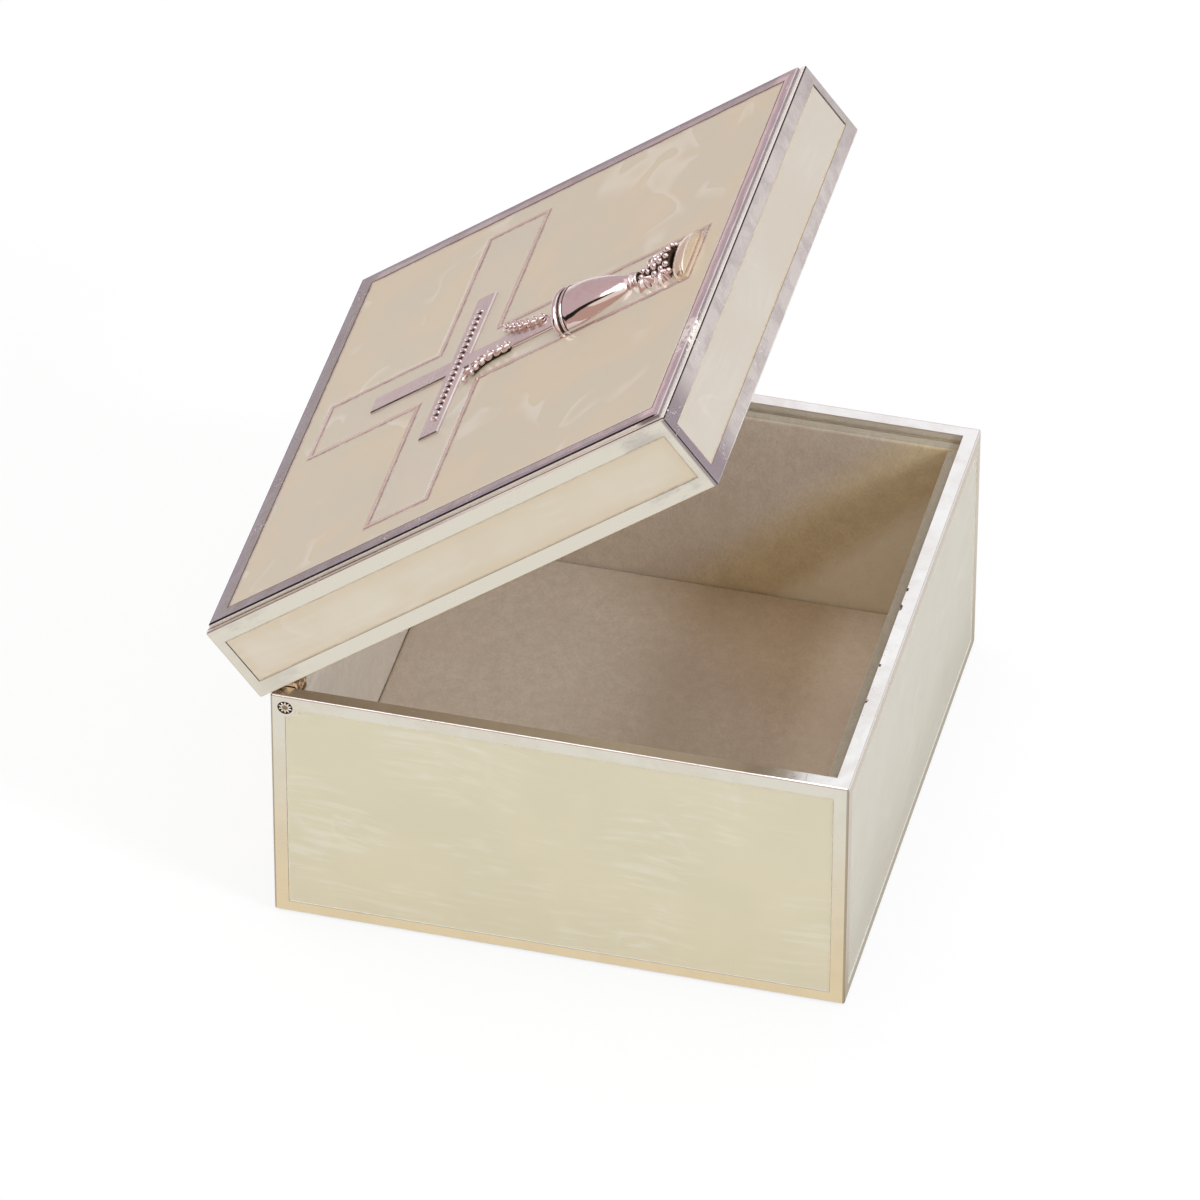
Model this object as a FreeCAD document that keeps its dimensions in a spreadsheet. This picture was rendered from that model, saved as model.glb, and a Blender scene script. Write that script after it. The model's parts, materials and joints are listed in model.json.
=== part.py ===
"""Square keepsake box with a hinged lid: enamel panels in cast metal, felt-lined, lid standing open.

Millimetres. +X is right, -Y is the front, +Y is the hinge side, +Z is up. The origin is the centre of the
underside. Every piece of the lid is drawn closed, about the hinge axis, and its Placement swings it open.
"""
import FreeCAD, Part
import math
import os
import re
import Sketcher

SIZES = {
    # Base shell
    "box_width": 100.0,
    "box_depth": 100.0,
    "base_height": 47.6,
    "wall_thickness": 2.6,
    "floor_thickness": 3.0,
    "edge_round": 0.4,
    # Enamel panels in the sides
    "panel_depth": 0.7,
    "enamel_thickness": 0.55,
    "enamel_clearance": 0.05,
    "base_border_side": 2.6,
    "base_border_top": 2.5,
    "base_border_bottom": 2.3,
    "base_border_notch": 0.8,
    "lid_border_side": 2.1,
    "lid_border_top": 2.9,
    "lid_border_bottom": 2.9,
    # Felt under and inside the box
    "pad_thickness": 1.0,
    "pad_proud": 0.3,
    "pad_inset": 4.0,
    "lining_thickness": 2.2,
    "lining_drop": 1.6,
    "lining_clearance": 0.05,
    "floor_lining": 4.2,
    "lid_lining": 1.2,
    "lid_lining_drop": 3.0,
    # Hinge
    "hinge_inset": 2.6,
    "hinge_drop": 2.4,
    "hinge_clearance": 0.3,
    "open_angle": 38.0,
    "stop_clearance": 0.08,
    "pin_radius": 0.95,
    "pin_clearance": 0.05,
    "pin_end_gap": 0.4,
    "head_radius": 1.3,
    "head_clearance": 0.03,
    "head_boss": 0.6,
    "knurl_count": 11,
    "knurl_depth": 0.35,
    "knurl_width": 0.5,
    "lug_width": 4.0,
    "lug_radius": 1.9,
    "lug_front": 2.4,
    "lug_tab": 6.0,
    "lug_clearance": 0.2,
    # Lid
    "lid_height": 15.3,
    "plate_inset": 1.0,
    "plate_thickness": 1.6,
    "plate_rise": 0.8,
    "plate_clearance": 0.05,
    "plate_round": 0.25,
    "plate_border_side": 2.9,
    "plate_border_front": 2.1,
    "plate_border_back": 3.3,
    "field_depth": 0.45,
    "field_enamel": 0.3,
    # Outline cross, its ends measured from the edges of the enamel field
    "outline_line": 0.7,
    "outline_shaft": 14.4,
    "outline_bar": 13.2,
    "outline_arm_gap": 5.3,
    "outline_head_gap": 4.5,
    "outline_foot_gap": 4.7,
    # Solid cross, its head and crossbar measured down from the outline cross's head
    "cross_shaft": 4.2,
    "cross_bar": 4.2,
    "cross_arm": 19.9,
    "cross_head_gap": 12.0,
    "bar_drop": 31.0,
    "cross_rise": 0.5,
    "cross_chamfer": 0.2,
    # Rope moulding on the crossbar
    "strand_count": 22,
    "strand_pitch": 1.42,
    "strand_width": 0.75,
    "strand_height": 1.9,
    "strand_slant": 0.7,
    "strand_rise": 0.4,
    "strip_rise": 0.12,
    # Chalice in relief, standing in the foot of the outline cross
    "relief_clearance": 0.05,
    "chalice_gap": 0.35,
    "cup_length": 14.2,
    "cup_rise": 4.2,
    "cup_side_gap": 0.45,
    "lip_draw": 0.6,
    "lip_length": 1.5,
    "waist_draw": 0.9,
    "belly_at": 4.5,
    "taper_radius": 4.3,
    "taper_at": 10.5,
    "stem_radius": 1.2,
    "stem_length": 1.9,
    "stem_rise": 1.2,
    "cluster_length": 8.5,
    "cluster_radius": 4.6,
    "cluster_rise": 3.3,
    "foot_side_gap": 0.55,
    "foot_length": 3.2,
    "foot_rise": 2.4,
    "foot_round": 1.0,
    # Wheat ears beside the cross, measured up from the cup's mouth
    "ear_length": 10.2,
    "ear_width": 2.6,
    "ear_rise": 1.3,
    "stalk_width": 0.8,
    "stalk_rise": 1.0,
    "left_ear_offset": 2.7,
    "left_ear_start": 10.6,
    "left_ear_lean": 20.0,
    "left_stalk_offset": 0.8,
    "right_ear_offset": 1.6,
    "right_ear_start": 5.2,
    "right_ear_lean": 17.0,
    "right_stalk_offset": 0.9,
}

# Heights and places that follow from the sizes. The lid's heights are measured from the hinge axis, closed,
# and the places on its top from the lid's centre.
DERIVED = {
    "rim": "pad_proud + base_height",
    "floor_top": "pad_proud + floor_thickness",
    "hinge_y": "box_depth / 2 - hinge_inset",
    "hinge_z": "rim - hinge_drop",
    "lining_top": "rim - lining_drop",
    "under_lug": "hinge_z - lug_radius - hinge_clearance",
    "before_lug": "hinge_y - lug_front - hinge_clearance",
    "inner_x": "box_width / 2 - wall_thickness",
    "inner_y": "box_depth / 2 - wall_thickness",
    "lined_x": "inner_x - lining_thickness",
    "lined_y": "inner_y - lining_thickness",
    "lid_lined_x": "inner_x - lid_lining",
    "lid_lined_y": "inner_y - lid_lining",
    "lug_outer": "inner_x - lug_clearance",
    "lug_inner": "lug_outer - lug_width",
    "notch_inner": "lug_inner - lug_clearance",
    "head_hole": "head_radius + head_clearance",
    "boss_radius": "head_hole + head_boss",
    "corner_lift": "hinge_inset * sin(open_angle * 1 deg) + hinge_drop * cos(open_angle * 1 deg)",
    "lid_gap": "corner_lift - hinge_drop + stop_clearance",
    "lid_middle": "0 - hinge_y",
    "lid_bottom": "hinge_drop + lid_gap",
    "lid_top": "lid_bottom + lid_height",
    "plate_top": "lid_top + plate_rise",
    "plate_base": "plate_top - plate_thickness",
    "plate_x": "box_width / 2 - plate_inset",
    "plate_y": "box_depth / 2 - plate_inset",
    "field_floor": "plate_top - field_depth",
    "field_top": "field_floor + field_enamel",
    "cross_top": "field_top + cross_rise",
    "field_x": "plate_x - plate_border_side",
    "field_front": "plate_y - plate_border_front",
    "field_back": "plate_y - plate_border_back",
    "outline_arm": "field_x - outline_arm_gap",
    "outline_head": "field_back - outline_head_gap",
    "outline_foot": "field_front - outline_foot_gap",
    "outline_inside": "(outline_shaft - outline_line) / 2",
    "bar_centre": "outline_head - bar_drop",
    "cross_head": "outline_head - cross_head_gap",
    "foot_end": "outline_foot - outline_line / 2 - chalice_gap",
    "foot_start": "foot_end - foot_length",
    "cluster_start": "foot_start - cluster_length",
    "stem_start": "cluster_start - stem_length",
    "cup_mouth": "stem_start - cup_length",
    "belly_radius": "outline_inside - cup_side_gap",
    "lip_radius": "belly_radius - lip_draw",
    "waist_radius": "belly_radius - waist_draw",
    "foot_radius": "outline_inside - foot_side_gap",
}

SIDES = {"left": -1, "right": 1}
ENDS = {"front": -1, "back": 1}

doc = FreeCAD.newDocument("keepsake_box")
sheet = doc.addObject("Spreadsheet::Sheet", "dims")
for row, (alias, number) in enumerate(SIZES.items(), start=1):
    sheet.set(f"A{row}", alias)
    sheet.set(f"B{row}", str(number))
    sheet.setAlias(f"B{row}", alias)
doc.recompute()
pieces = []


def formula(text):
    """The text with each size pointed at its cell, and each derived place written out."""
    def point_at(word):
        name = word[0]
        if name in SIZES:
            return f"dims.{name}"
        if name in DERIVED:
            return f"({formula(DERIVED[name])})"
        return name
    return re.sub(r"[a-z_]+", point_at, text)


def value(text):
    """The number that a formula gives now."""
    return float(sheet.evalExpression(formula(text)))


def bind(item, prop, text):
    item.setExpression(prop, formula(text))


def hang_on_hinge(item):
    """Place a piece of the lid on the hinge axis and swing it open."""
    item.Placement = FreeCAD.Placement(
        FreeCAD.Vector(0, value("hinge_y"), value("hinge_z")),
        FreeCAD.Rotation(FreeCAD.Vector(1, 0, 0), -value("open_angle")),
    )
    bind(item, "Placement.Base.y", "hinge_y")
    bind(item, "Placement.Base.z", "hinge_z")
    bind(item, "Placement.Rotation.Angle", "0 deg - open_angle * 1 deg")


def new_body(label, on_lid=False):
    body = doc.addObject("PartDesign::Body", label)
    body.Label = label
    if on_lid:
        hang_on_hinge(body)
    pieces.append(body)
    return body


def new_sketch(body, plane, lift="0"):
    """A sketch on one of the body's own planes, lifted along that plane's normal."""
    sketch = body.newObject("Sketcher::SketchObject", f"{body.Label}_sketch")
    support = next(item for item in body.Origin.OriginFeatures if item.Role == plane)
    sketch.AttachmentSupport = [(support, "")]
    sketch.MapMode = "FlatFace"
    bind(sketch, "AttachmentOffset.Base.z", lift)
    return sketch


def fix_point(sketch, line, end, x, y):
    """Hold one point of the sketch at x, y from its origin."""
    for kind, text in (("DistanceX", x), ("DistanceY", y)):
        index = sketch.addConstraint(Sketcher.Constraint(kind, -1, 1, line, end, value(text)))
        bind(sketch, f"Constraints[{index}]", text)


def draw_polygon(sketch, points):
    """A closed outline with straight sides through points given as pairs of formulas."""
    first = sketch.GeometryCount
    count = len(points)
    corners = [FreeCAD.Vector(value(x), value(y), 0) for x, y in points]
    for index, corner in enumerate(corners):
        sketch.addGeometry(Part.LineSegment(corner, corners[(index + 1) % count]))
    for index, (x, y) in enumerate(points):
        following = first + (index + 1) % count
        sketch.addConstraint(Sketcher.Constraint("Coincident", first + index, 2, following, 1))
        fix_point(sketch, first + index, 1, x, y)


def draw_circle(sketch, x, y, radius):
    centre = FreeCAD.Vector(value(x), value(y), 0)
    line = sketch.addGeometry(Part.Circle(centre, FreeCAD.Vector(0, 0, 1), value(radius)))
    fix_point(sketch, line, 3, x, y)
    index = sketch.addConstraint(Sketcher.Constraint("Radius", line, value(radius)))
    bind(sketch, f"Constraints[{index}]", radius)


def rectangle(across, along):
    """Corners of a rectangle from two (low, high) pairs of formulas."""
    (left, right), (low, high) = across, along
    return [(left, low), (right, low), (right, high), (left, high)]


def both_ways(half):
    return f"0 - ({half})", half


def on_side(side, near, far):
    """A (low, high) pair that lies near..far from the middle, on the side given as -1 or 1."""
    return (near, far) if side > 0 else (f"0 - ({far})", f"0 - ({near})")


def pad(sketch, length, backwards=False):
    body = sketch.getParentGeoFeatureGroup()
    feature = body.newObject("PartDesign::Pad", f"{body.Label}_pad")
    feature.Profile = sketch
    feature.Reversed = backwards
    bind(feature, "Length", length)
    return feature


def pocket(sketch, depth, backwards=False):
    """Cut the sketch into the body, against the sketch plane's normal unless backwards."""
    body = sketch.getParentGeoFeatureGroup()
    feature = body.newObject("PartDesign::Pocket", f"{body.Label}_pocket")
    feature.Profile = sketch
    feature.Reversed = backwards
    bind(feature, "Length", depth)
    return feature


def block(label, x, y, z, on_lid=False):
    """A plain board or sheet between three (low, high) pairs."""
    body = new_body(label, on_lid)
    sketch = new_sketch(body, "XY_Plane", z[0])
    draw_polygon(sketch, rectangle(x, y))
    pad(sketch, f"{z[1]} - ({z[0]})")
    return body


def round_edges(feature, radius, edges=None):
    """Fillet the named edges or faces of a feature, or all of its edges."""
    doc.recompute()
    body = feature.getParentGeoFeatureGroup()
    fillet = body.newObject("PartDesign::Fillet", f"{body.Label}_round")
    fillet.Base = (feature, edges or [])
    fillet.UseAllEdges = edges is None
    bind(fillet, "Radius", radius)
    return fillet


def top_face(feature):
    """Name of the feature's highest face."""
    doc.recompute()
    faces = feature.Shape.Faces
    highest = max(range(len(faces)), key=lambda index: faces[index].CenterOfMass.z)
    return f"Face{highest + 1}"


def lid_y(text):
    """A place along the lid, from its centre, as a place from the hinge axis."""
    return f"lid_middle + ({text})"


def lid_span(half):
    return lid_y(f"0 - ({half})"), lid_y(half)


def panel_span(name, on_lid):
    """Where a side's enamel panel lies along the side and up it, as two (low, high) pairs."""
    edge = "lid_border" if on_lid else "base_border"
    low, high = ("lid_bottom", "lid_top") if on_lid else ("pad_proud", "rim")
    under_notches = name == "back" and not on_lid
    top = "under_lug - base_border_notch" if under_notches else f"{high} - {edge}_top"
    upright = (f"{low} + {edge}_bottom", top)
    if name in ENDS:
        return both_ways(f"box_width / 2 - {edge}_side"), upright
    half = f"box_depth / 2 - {edge}_side"
    return (lid_span(half) if on_lid else both_ways(half)), upright


def shrink(span, clearance):
    low, high = span
    return f"{low} + {clearance}", f"{high} - {clearance}"


def side_face(name, on_lid):
    """Sketch plane, lift along its normal, and whether a cut inwards runs along that normal."""
    if name in SIDES:
        return "YZ_Plane", f"{SIDES[name]} * box_width / 2", SIDES[name] < 0
    middle = "hinge_y" if on_lid else "0"
    return "XZ_Plane", f"{middle} - ({ENDS[name]}) * box_depth / 2", ENDS[name] > 0


def cut_panels(body, on_lid=False):
    """Sink the recess for an enamel panel into each of the four sides."""
    for name in (*SIDES, *ENDS):
        plane, lift, inwards = side_face(name, on_lid)
        sketch = new_sketch(body, plane, lift)
        draw_polygon(sketch, rectangle(*panel_span(name, on_lid)))
        pocket(sketch, "panel_depth", backwards=inwards)


def make_panels(prefix, on_lid=False):
    """The enamel sheets that lie on the floors of the side recesses."""
    for name in (*SIDES, *ENDS):
        along, upright = (shrink(span, "enamel_clearance") for span in panel_span(name, on_lid))
        half = "box_width / 2" if name in SIDES else "box_depth / 2"
        floor = f"{half} - panel_depth"
        through = on_side({**SIDES, **ENDS}[name], floor, f"{floor} + enamel_thickness")
        if name in SIDES:
            sheet_body = block(f"{prefix}_{name}", through, along, upright, on_lid)
            if not on_lid:
                cut_round_pin_head(sheet_body, name)
        else:
            depth = tuple(lid_y(text) for text in through) if on_lid else through
            block(f"{prefix}_{name}", along, depth, upright, on_lid)


def cut_round_pin_head(body, name):
    """Leave room in an enamel panel's corner for the metal round the hinge pin."""
    plane, lift, inwards = side_face(name, on_lid=False)
    sketch = new_sketch(body, plane, lift)
    draw_circle(sketch, "hinge_y", "hinge_z", "boss_radius + enamel_clearance")
    pocket(sketch, "panel_depth", backwards=inwards)


def make_base_shell():
    body = new_body("base_shell")
    outer = new_sketch(body, "XY_Plane", "pad_proud")
    draw_polygon(outer, rectangle(both_ways("box_width / 2"), both_ways("box_depth / 2")))
    round_edges(pad(outer, "base_height"), "edge_round")
    inside = new_sketch(body, "XY_Plane", "rim")
    draw_polygon(inside, rectangle(both_ways("inner_x"), both_ways("inner_y")))
    pocket(inside, "base_height - floor_thickness")
    cut_panels(body)
    underside = new_sketch(body, "XY_Plane", "pad_proud")
    draw_polygon(underside, rectangle(both_ways("box_width / 2 - pad_inset"),
                                      both_ways("box_depth / 2 - pad_inset")))
    pocket(underside, "pad_thickness - pad_proud", backwards=True)
    plane, lift, inwards = side_face("back", on_lid=False)
    notches = new_sketch(body, plane, lift)
    for side in SIDES.values():
        across = on_side(side, "notch_inner", "inner_x")
        draw_polygon(notches, rectangle(across, ("under_lug", "rim + hinge_clearance")))
    pocket(notches, "wall_thickness", backwards=inwards)
    for name in SIDES:
        plane, lift, inwards = side_face(name, on_lid=False)
        boss = new_sketch(body, plane, lift)
        draw_circle(boss, "hinge_y", "hinge_z", "boss_radius")
        pad(boss, "panel_depth", backwards=not inwards)
        hole = new_sketch(body, plane, lift)
        draw_circle(hole, "hinge_y", "hinge_z", "head_hole")
        pocket(hole, "wall_thickness", backwards=inwards)


def make_base_lining():
    """Boards inside: the side ones end before the hinge lugs, and the back one stays below them."""
    upright = ("floor_top", "lining_top")
    along = ("0 - (inner_y - lining_clearance)", "before_lug")
    for name, side in SIDES.items():
        block(f"lining_{name}", on_side(side, "lined_x", "inner_x"), along, upright)
    between = both_ways("lined_x - lining_clearance")
    block("lining_front", between, on_side(ENDS["front"], "lined_y", "inner_y"), upright)
    block("lining_back", both_ways("inner_x - lining_clearance"), on_side(ENDS["back"], "lined_y", "inner_y"),
          ("floor_top", "under_lug"))
    block("lining_floor", between, both_ways("lined_y - lining_clearance"),
          ("floor_top", "floor_top + floor_lining"))
    pad_x = both_ways("box_width / 2 - pad_inset - lining_clearance")
    pad_y = both_ways("box_depth / 2 - pad_inset - lining_clearance")
    block("base_bottom_felt", pad_x, pad_y, ("0", "pad_thickness"))


def make_hinge_pins():
    """Pins pressed in from the sides: a knurled head in the wall and a plain shank in the lid's lug."""
    for name, side in SIDES.items():
        body = new_body(f"hinge_pin_{name}")
        head = new_sketch(body, "YZ_Plane")
        draw_circle(head, "0", "0", "head_radius")
        pad(head, "wall_thickness")
        shank = new_sketch(body, "YZ_Plane", "wall_thickness")
        draw_circle(shank, "0", "0", "pin_radius")
        pad(shank, "lug_clearance + lug_width - pin_end_gap")
        groove = new_sketch(body, "YZ_Plane")
        draw_polygon(groove, [("head_radius - knurl_depth", "0"),
                              ("head_radius + knurl_depth", "0 - knurl_width"),
                              ("head_radius + knurl_depth", "knurl_width")])
        cut = pocket(groove, "wall_thickness", backwards=True)
        knurl = body.newObject("PartDesign::PolarPattern", f"{body.Label}_knurl")
        knurl.Originals = [cut]
        knurl.Axis = (groove, ["N_Axis"])
        knurl.Angle = 360
        bind(knurl, "Occurrences", "knurl_count")
        body.Tip = knurl
        turn = FreeCAD.Rotation(FreeCAD.Vector(0, 0, 1), 0 if side < 0 else 180)
        body.Placement = FreeCAD.Placement(FreeCAD.Vector(), turn)
        bind(body, "Placement.Base.x", f"{side} * box_width / 2")
        bind(body, "Placement.Base.y", "hinge_y")
        bind(body, "Placement.Base.z", "hinge_z")


def make_hinge_lugs():
    """Lugs under the lid's back corners: a barrel on the pin, a neck and a tab inside the lid's back wall."""
    inside_wall = "hinge_inset - wall_thickness"
    side_view = [("0 - lug_front", "0"), ("lug_radius", "0"), ("lug_radius", "lid_bottom"),
                 (inside_wall, "lid_bottom"), (inside_wall, "lid_bottom + lug_tab"),
                 ("0 - lug_front", "lid_bottom + lug_tab")]
    for name, side in SIDES.items():
        body = new_body(f"hinge_lug_{name}", on_lid=True)
        start = on_side(side, "lug_inner", "lug_outer")[0]
        barrel = new_sketch(body, "YZ_Plane", start)
        draw_circle(barrel, "0", "0", "lug_radius")
        pad(barrel, "lug_width")
        neck = new_sketch(body, "YZ_Plane", start)
        draw_polygon(neck, side_view)
        pad(neck, "lug_width")
        bore = new_sketch(body, "YZ_Plane", start)
        draw_circle(bore, "0", "0", "pin_radius + pin_clearance")
        pocket(bore, "lug_width", backwards=True)


def make_lid_frame():
    body = new_body("lid_frame", on_lid=True)
    outer = new_sketch(body, "XY_Plane", "lid_bottom")
    draw_polygon(outer, rectangle(both_ways("box_width / 2"), lid_span("box_depth / 2")))
    round_edges(pad(outer, "lid_height"), "edge_round")
    inside = new_sketch(body, "XY_Plane", "lid_top")
    draw_polygon(inside, rectangle(both_ways("inner_x"), lid_span("inner_y")))
    pocket(inside, "lid_height")
    seat = new_sketch(body, "XY_Plane", "lid_top")
    draw_polygon(seat, rectangle(both_ways("plate_x + plate_clearance"),
                                 lid_span("plate_y + plate_clearance")))
    pocket(seat, "plate_thickness - plate_rise")
    cut_panels(body, on_lid=True)


def cross_points(shaft, bar, arm, head, foot, grow="0"):
    """The twelve corners of a Latin cross on the lid, its head towards the hinge."""
    left, right = both_ways(f"{shaft} / 2 + {grow}")
    far_left, far_right = both_ways(f"{arm} + {grow}")
    top = lid_y(f"{head} + {grow}")
    bottom = lid_y(f"0 - ({foot} + {grow})")
    bar_low = lid_y(f"bar_centre - ({bar} / 2 + {grow})")
    bar_high = lid_y(f"bar_centre + {bar} / 2 + {grow}")
    return [(left, bottom), (right, bottom), (right, bar_low), (far_right, bar_low), (far_right, bar_high),
            (right, bar_high), (right, top), (left, top), (left, bar_high), (far_left, bar_high),
            (far_left, bar_low), (left, bar_low)]


def outline_cross(grow):
    return cross_points("outline_shaft", "outline_bar", "outline_arm", "outline_head", "outline_foot", grow)


def field_outline(clearance="0"):
    along = (lid_y(f"0 - (field_front - {clearance})"), lid_y(f"field_back - {clearance}"))
    return rectangle(both_ways(f"field_x - {clearance}"), along)


def make_lid_plate():
    """The raised plate: a border and the thin outline cross stand up round the enamel."""
    body = new_body("lid_top_plate", on_lid=True)
    outer = new_sketch(body, "XY_Plane", "plate_base")
    draw_polygon(outer, rectangle(both_ways("plate_x"), lid_span("plate_y")))
    slab = pad(outer, "plate_thickness")
    round_edges(slab, "plate_round", [top_face(slab)])
    sunk = new_sketch(body, "XY_Plane", "plate_top")
    draw_polygon(sunk, field_outline())
    draw_polygon(sunk, outline_cross("outline_line / 2"))
    draw_polygon(sunk, outline_cross("0 - outline_line / 2"))
    pocket(sunk, "field_depth")


def make_lid_enamel():
    field = new_sketch(new_body("lid_enamel_field", on_lid=True), "XY_Plane", "field_floor")
    draw_polygon(field, field_outline("enamel_clearance"))
    draw_polygon(field, outline_cross("outline_line / 2 + enamel_clearance"))
    pad(field, "field_enamel")
    inner = new_sketch(new_body("lid_enamel_cross", on_lid=True), "XY_Plane", "field_floor")
    draw_polygon(inner, outline_cross("0 - outline_line / 2 - enamel_clearance"))
    pad(inner, "field_enamel")


def make_cross():
    sketch = new_sketch(new_body("cross", on_lid=True), "XY_Plane", "field_top")
    draw_polygon(sketch, cross_points("cross_shaft", "cross_bar", "cross_arm", "cross_head",
                                      "(cup_mouth - relief_clearance)"))
    solid = pad(sketch, "cross_rise")
    chamfer = solid.getParentGeoFeatureGroup().newObject("PartDesign::Chamfer", "cross_bevel")
    chamfer.Base = (solid, [top_face(solid)])
    bind(chamfer, "Size", "cross_chamfer")


def make_crossbar_moulding():
    """Rope moulding along the crossbar: slanted strands on a thin strip."""
    body = new_body("crossbar_moulding", on_lid=True)
    half_run = "strand_pitch * (strand_count - 1) / 2"
    low, high = lid_y("bar_centre - strand_height / 2"), lid_y("bar_centre + strand_height / 2")
    strip = new_sketch(body, "XY_Plane", "cross_top")
    reach = both_ways(f"{half_run} + strand_width / 2 + strand_slant")
    draw_polygon(strip, rectangle(reach, (low, high)))
    pad(strip, "strip_rise")
    strand = new_sketch(body, "XY_Plane", "cross_top")
    start = f"0 - {half_run}"
    draw_polygon(strand, [(f"{start} - strand_slant / 2 - strand_width / 2", low),
                          (f"{start} - strand_slant / 2 + strand_width / 2", low),
                          (f"{start} + strand_slant / 2 + strand_width / 2", high),
                          (f"{start} + strand_slant / 2 - strand_width / 2", high)])
    first = pad(strand, "strand_rise")
    rope = body.newObject("PartDesign::LinearPattern", "crossbar_rope")
    rope.Originals = [first]
    rope.Direction = (strand, ["H_Axis"])
    bind(rope, "Length", "strand_pitch * (strand_count - 1)")
    bind(rope, "Occurrences", "strand_count")
    body.Tip = rope


def relief(label, shape):
    """A piece of relief, drawn where it lies on the face of the enamel."""
    feature = doc.addObject("Part::Feature", label)
    feature.Label = label
    feature.Shape = shape
    hang_on_hinge(feature)
    pieces.append(feature)


def half_turned(edges, widest, rise):
    """A turned form lying on the enamel, cut through its axis and flattened to the rise of its relief.

    The edges run from the axis out, along the form and back to the axis, in the plane of the lid.
    """
    start = edges[0].firstVertex().Point
    end = edges[-1].lastVertex().Point
    face = Part.Face(Part.Wire(edges + [Part.makeLine(end, start)]))
    turned = face.revolve(FreeCAD.Vector(), FreeCAD.Vector(0, 1, 0), -180)
    flatten = FreeCAD.Matrix()
    flatten.scale(1, 1, rise / widest)
    flatten.move(FreeCAD.Vector(0, 0, value("field_top")))
    return turned.transformGeometry(flatten)


def profile_point(radius, at):
    """A point of a chalice profile: out from the axis, and towards the foot from the lid's centre."""
    return FreeCAD.Vector(value(radius), value(lid_y(f"0 - ({at})")), 0)


def make_chalice():
    lip = profile_point("lip_radius", "cup_mouth")
    waist = profile_point("waist_radius", "cup_mouth + lip_length")
    belly = profile_point("belly_radius", "cup_mouth + belly_at")
    taper = profile_point("taper_radius", "cup_mouth + taper_at")
    cup_end = profile_point("stem_radius", "stem_start")
    bowl = Part.BSplineCurve()
    bowl.interpolate([waist, belly, taper, cup_end])
    relief("chalice_cup", half_turned([
        Part.makeLine(profile_point("0", "cup_mouth"), lip),
        Part.makeLine(lip, waist),
        bowl.toShape(),
        Part.makeLine(cup_end, profile_point("0", "stem_start")),
    ], value("belly_radius"), value("cup_rise")))

    stem_end = profile_point("stem_radius", "cluster_start")
    relief("chalice_stem", half_turned([
        Part.makeLine(profile_point("0", "stem_start"), cup_end),
        Part.makeLine(cup_end, stem_end),
        Part.makeLine(stem_end, profile_point("0", "cluster_start")),
    ], value("stem_radius"), value("stem_rise")))

    cluster_end = profile_point("cluster_radius", "foot_start")
    relief("chalice_cluster", half_turned([
        Part.makeLine(profile_point("0", "cluster_start"), stem_end),
        Part.makeLine(stem_end, cluster_end),
        Part.makeLine(cluster_end, profile_point("0", "foot_start")),
    ], value("cluster_radius"), value("cluster_rise")))

    shoulder_start = profile_point("foot_radius - foot_round", "foot_start")
    shoulder_drop = "foot_round * (1 - sqrt(0.5))"
    shoulder_mid = profile_point(f"foot_radius - {shoulder_drop}", f"foot_start + {shoulder_drop}")
    shoulder_end = profile_point("foot_radius", "foot_start + foot_round")
    foot_edge = profile_point("foot_radius", "foot_end")
    relief("chalice_foot", half_turned([
        Part.makeLine(profile_point("0", "foot_start"), shoulder_start),
        Part.Arc(shoulder_start, shoulder_mid, shoulder_end).toShape(),
        Part.makeLine(shoulder_end, foot_edge),
        Part.makeLine(foot_edge, profile_point("0", "foot_end")),
    ], value("foot_radius"), value("foot_rise")))


def make_wheat_ears():
    """Half-spindle ears that lean outwards, each on a stalk that comes out of the cup's mouth."""
    up = FreeCAD.Vector(0, 0, 1)
    floor = value("field_top")
    width = value("stalk_width")
    mouth = value(lid_y("0 - (cup_mouth - relief_clearance)"))
    shaft = Part.makeBox(value("cross_shaft"), value("cup_mouth + cross_head"), value("cross_rise"),
                         FreeCAD.Vector(-value("cross_shaft / 2"), mouth, floor))
    bar = Part.makeBox(value("2 * cross_arm"), value("cross_bar"), value("cross_rise + strand_rise"),
                       FreeCAD.Vector(-value("cross_arm"), value(lid_y("bar_centre - cross_bar / 2")), floor))
    stretch = FreeCAD.Matrix()
    stretch.scale(value("ear_width / 2"), value("ear_length / 2"), value("ear_rise"))
    for name, side in SIDES.items():
        base = FreeCAD.Vector(side * value(f"{name}_ear_offset"), mouth + value(f"{name}_ear_start"), floor)
        foot = FreeCAD.Vector(side * value(f"{name}_stalk_offset"), mouth + width / 2, floor)
        ear = Part.makeSphere(1, FreeCAD.Vector(), up, 0, 90, 360).transformGeometry(stretch)
        ear.translate(base + FreeCAD.Vector(0, value("ear_length / 2"), 0))
        ear.rotate(base, up, -side * value(f"{name}_ear_lean"))
        run = base - foot
        stalk = Part.makeBox(width, run.Length + width, value("stalk_rise"),
                             foot - FreeCAD.Vector(width / 2, 0, 0))
        stalk.rotate(foot, up, math.degrees(math.atan2(-run.x, run.y)))
        spine = Part.makeBox(width, value("ear_length - ear_width"), value("stalk_rise"),
                             base - FreeCAD.Vector(width / 2, 0, 0))
        spine.rotate(base, up, -side * value(f"{name}_ear_lean"))
        relief(f"wheat_ear_{name}", ear.fuse([stalk, spine]).cut([shaft, bar]).removeSplitter())


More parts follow.
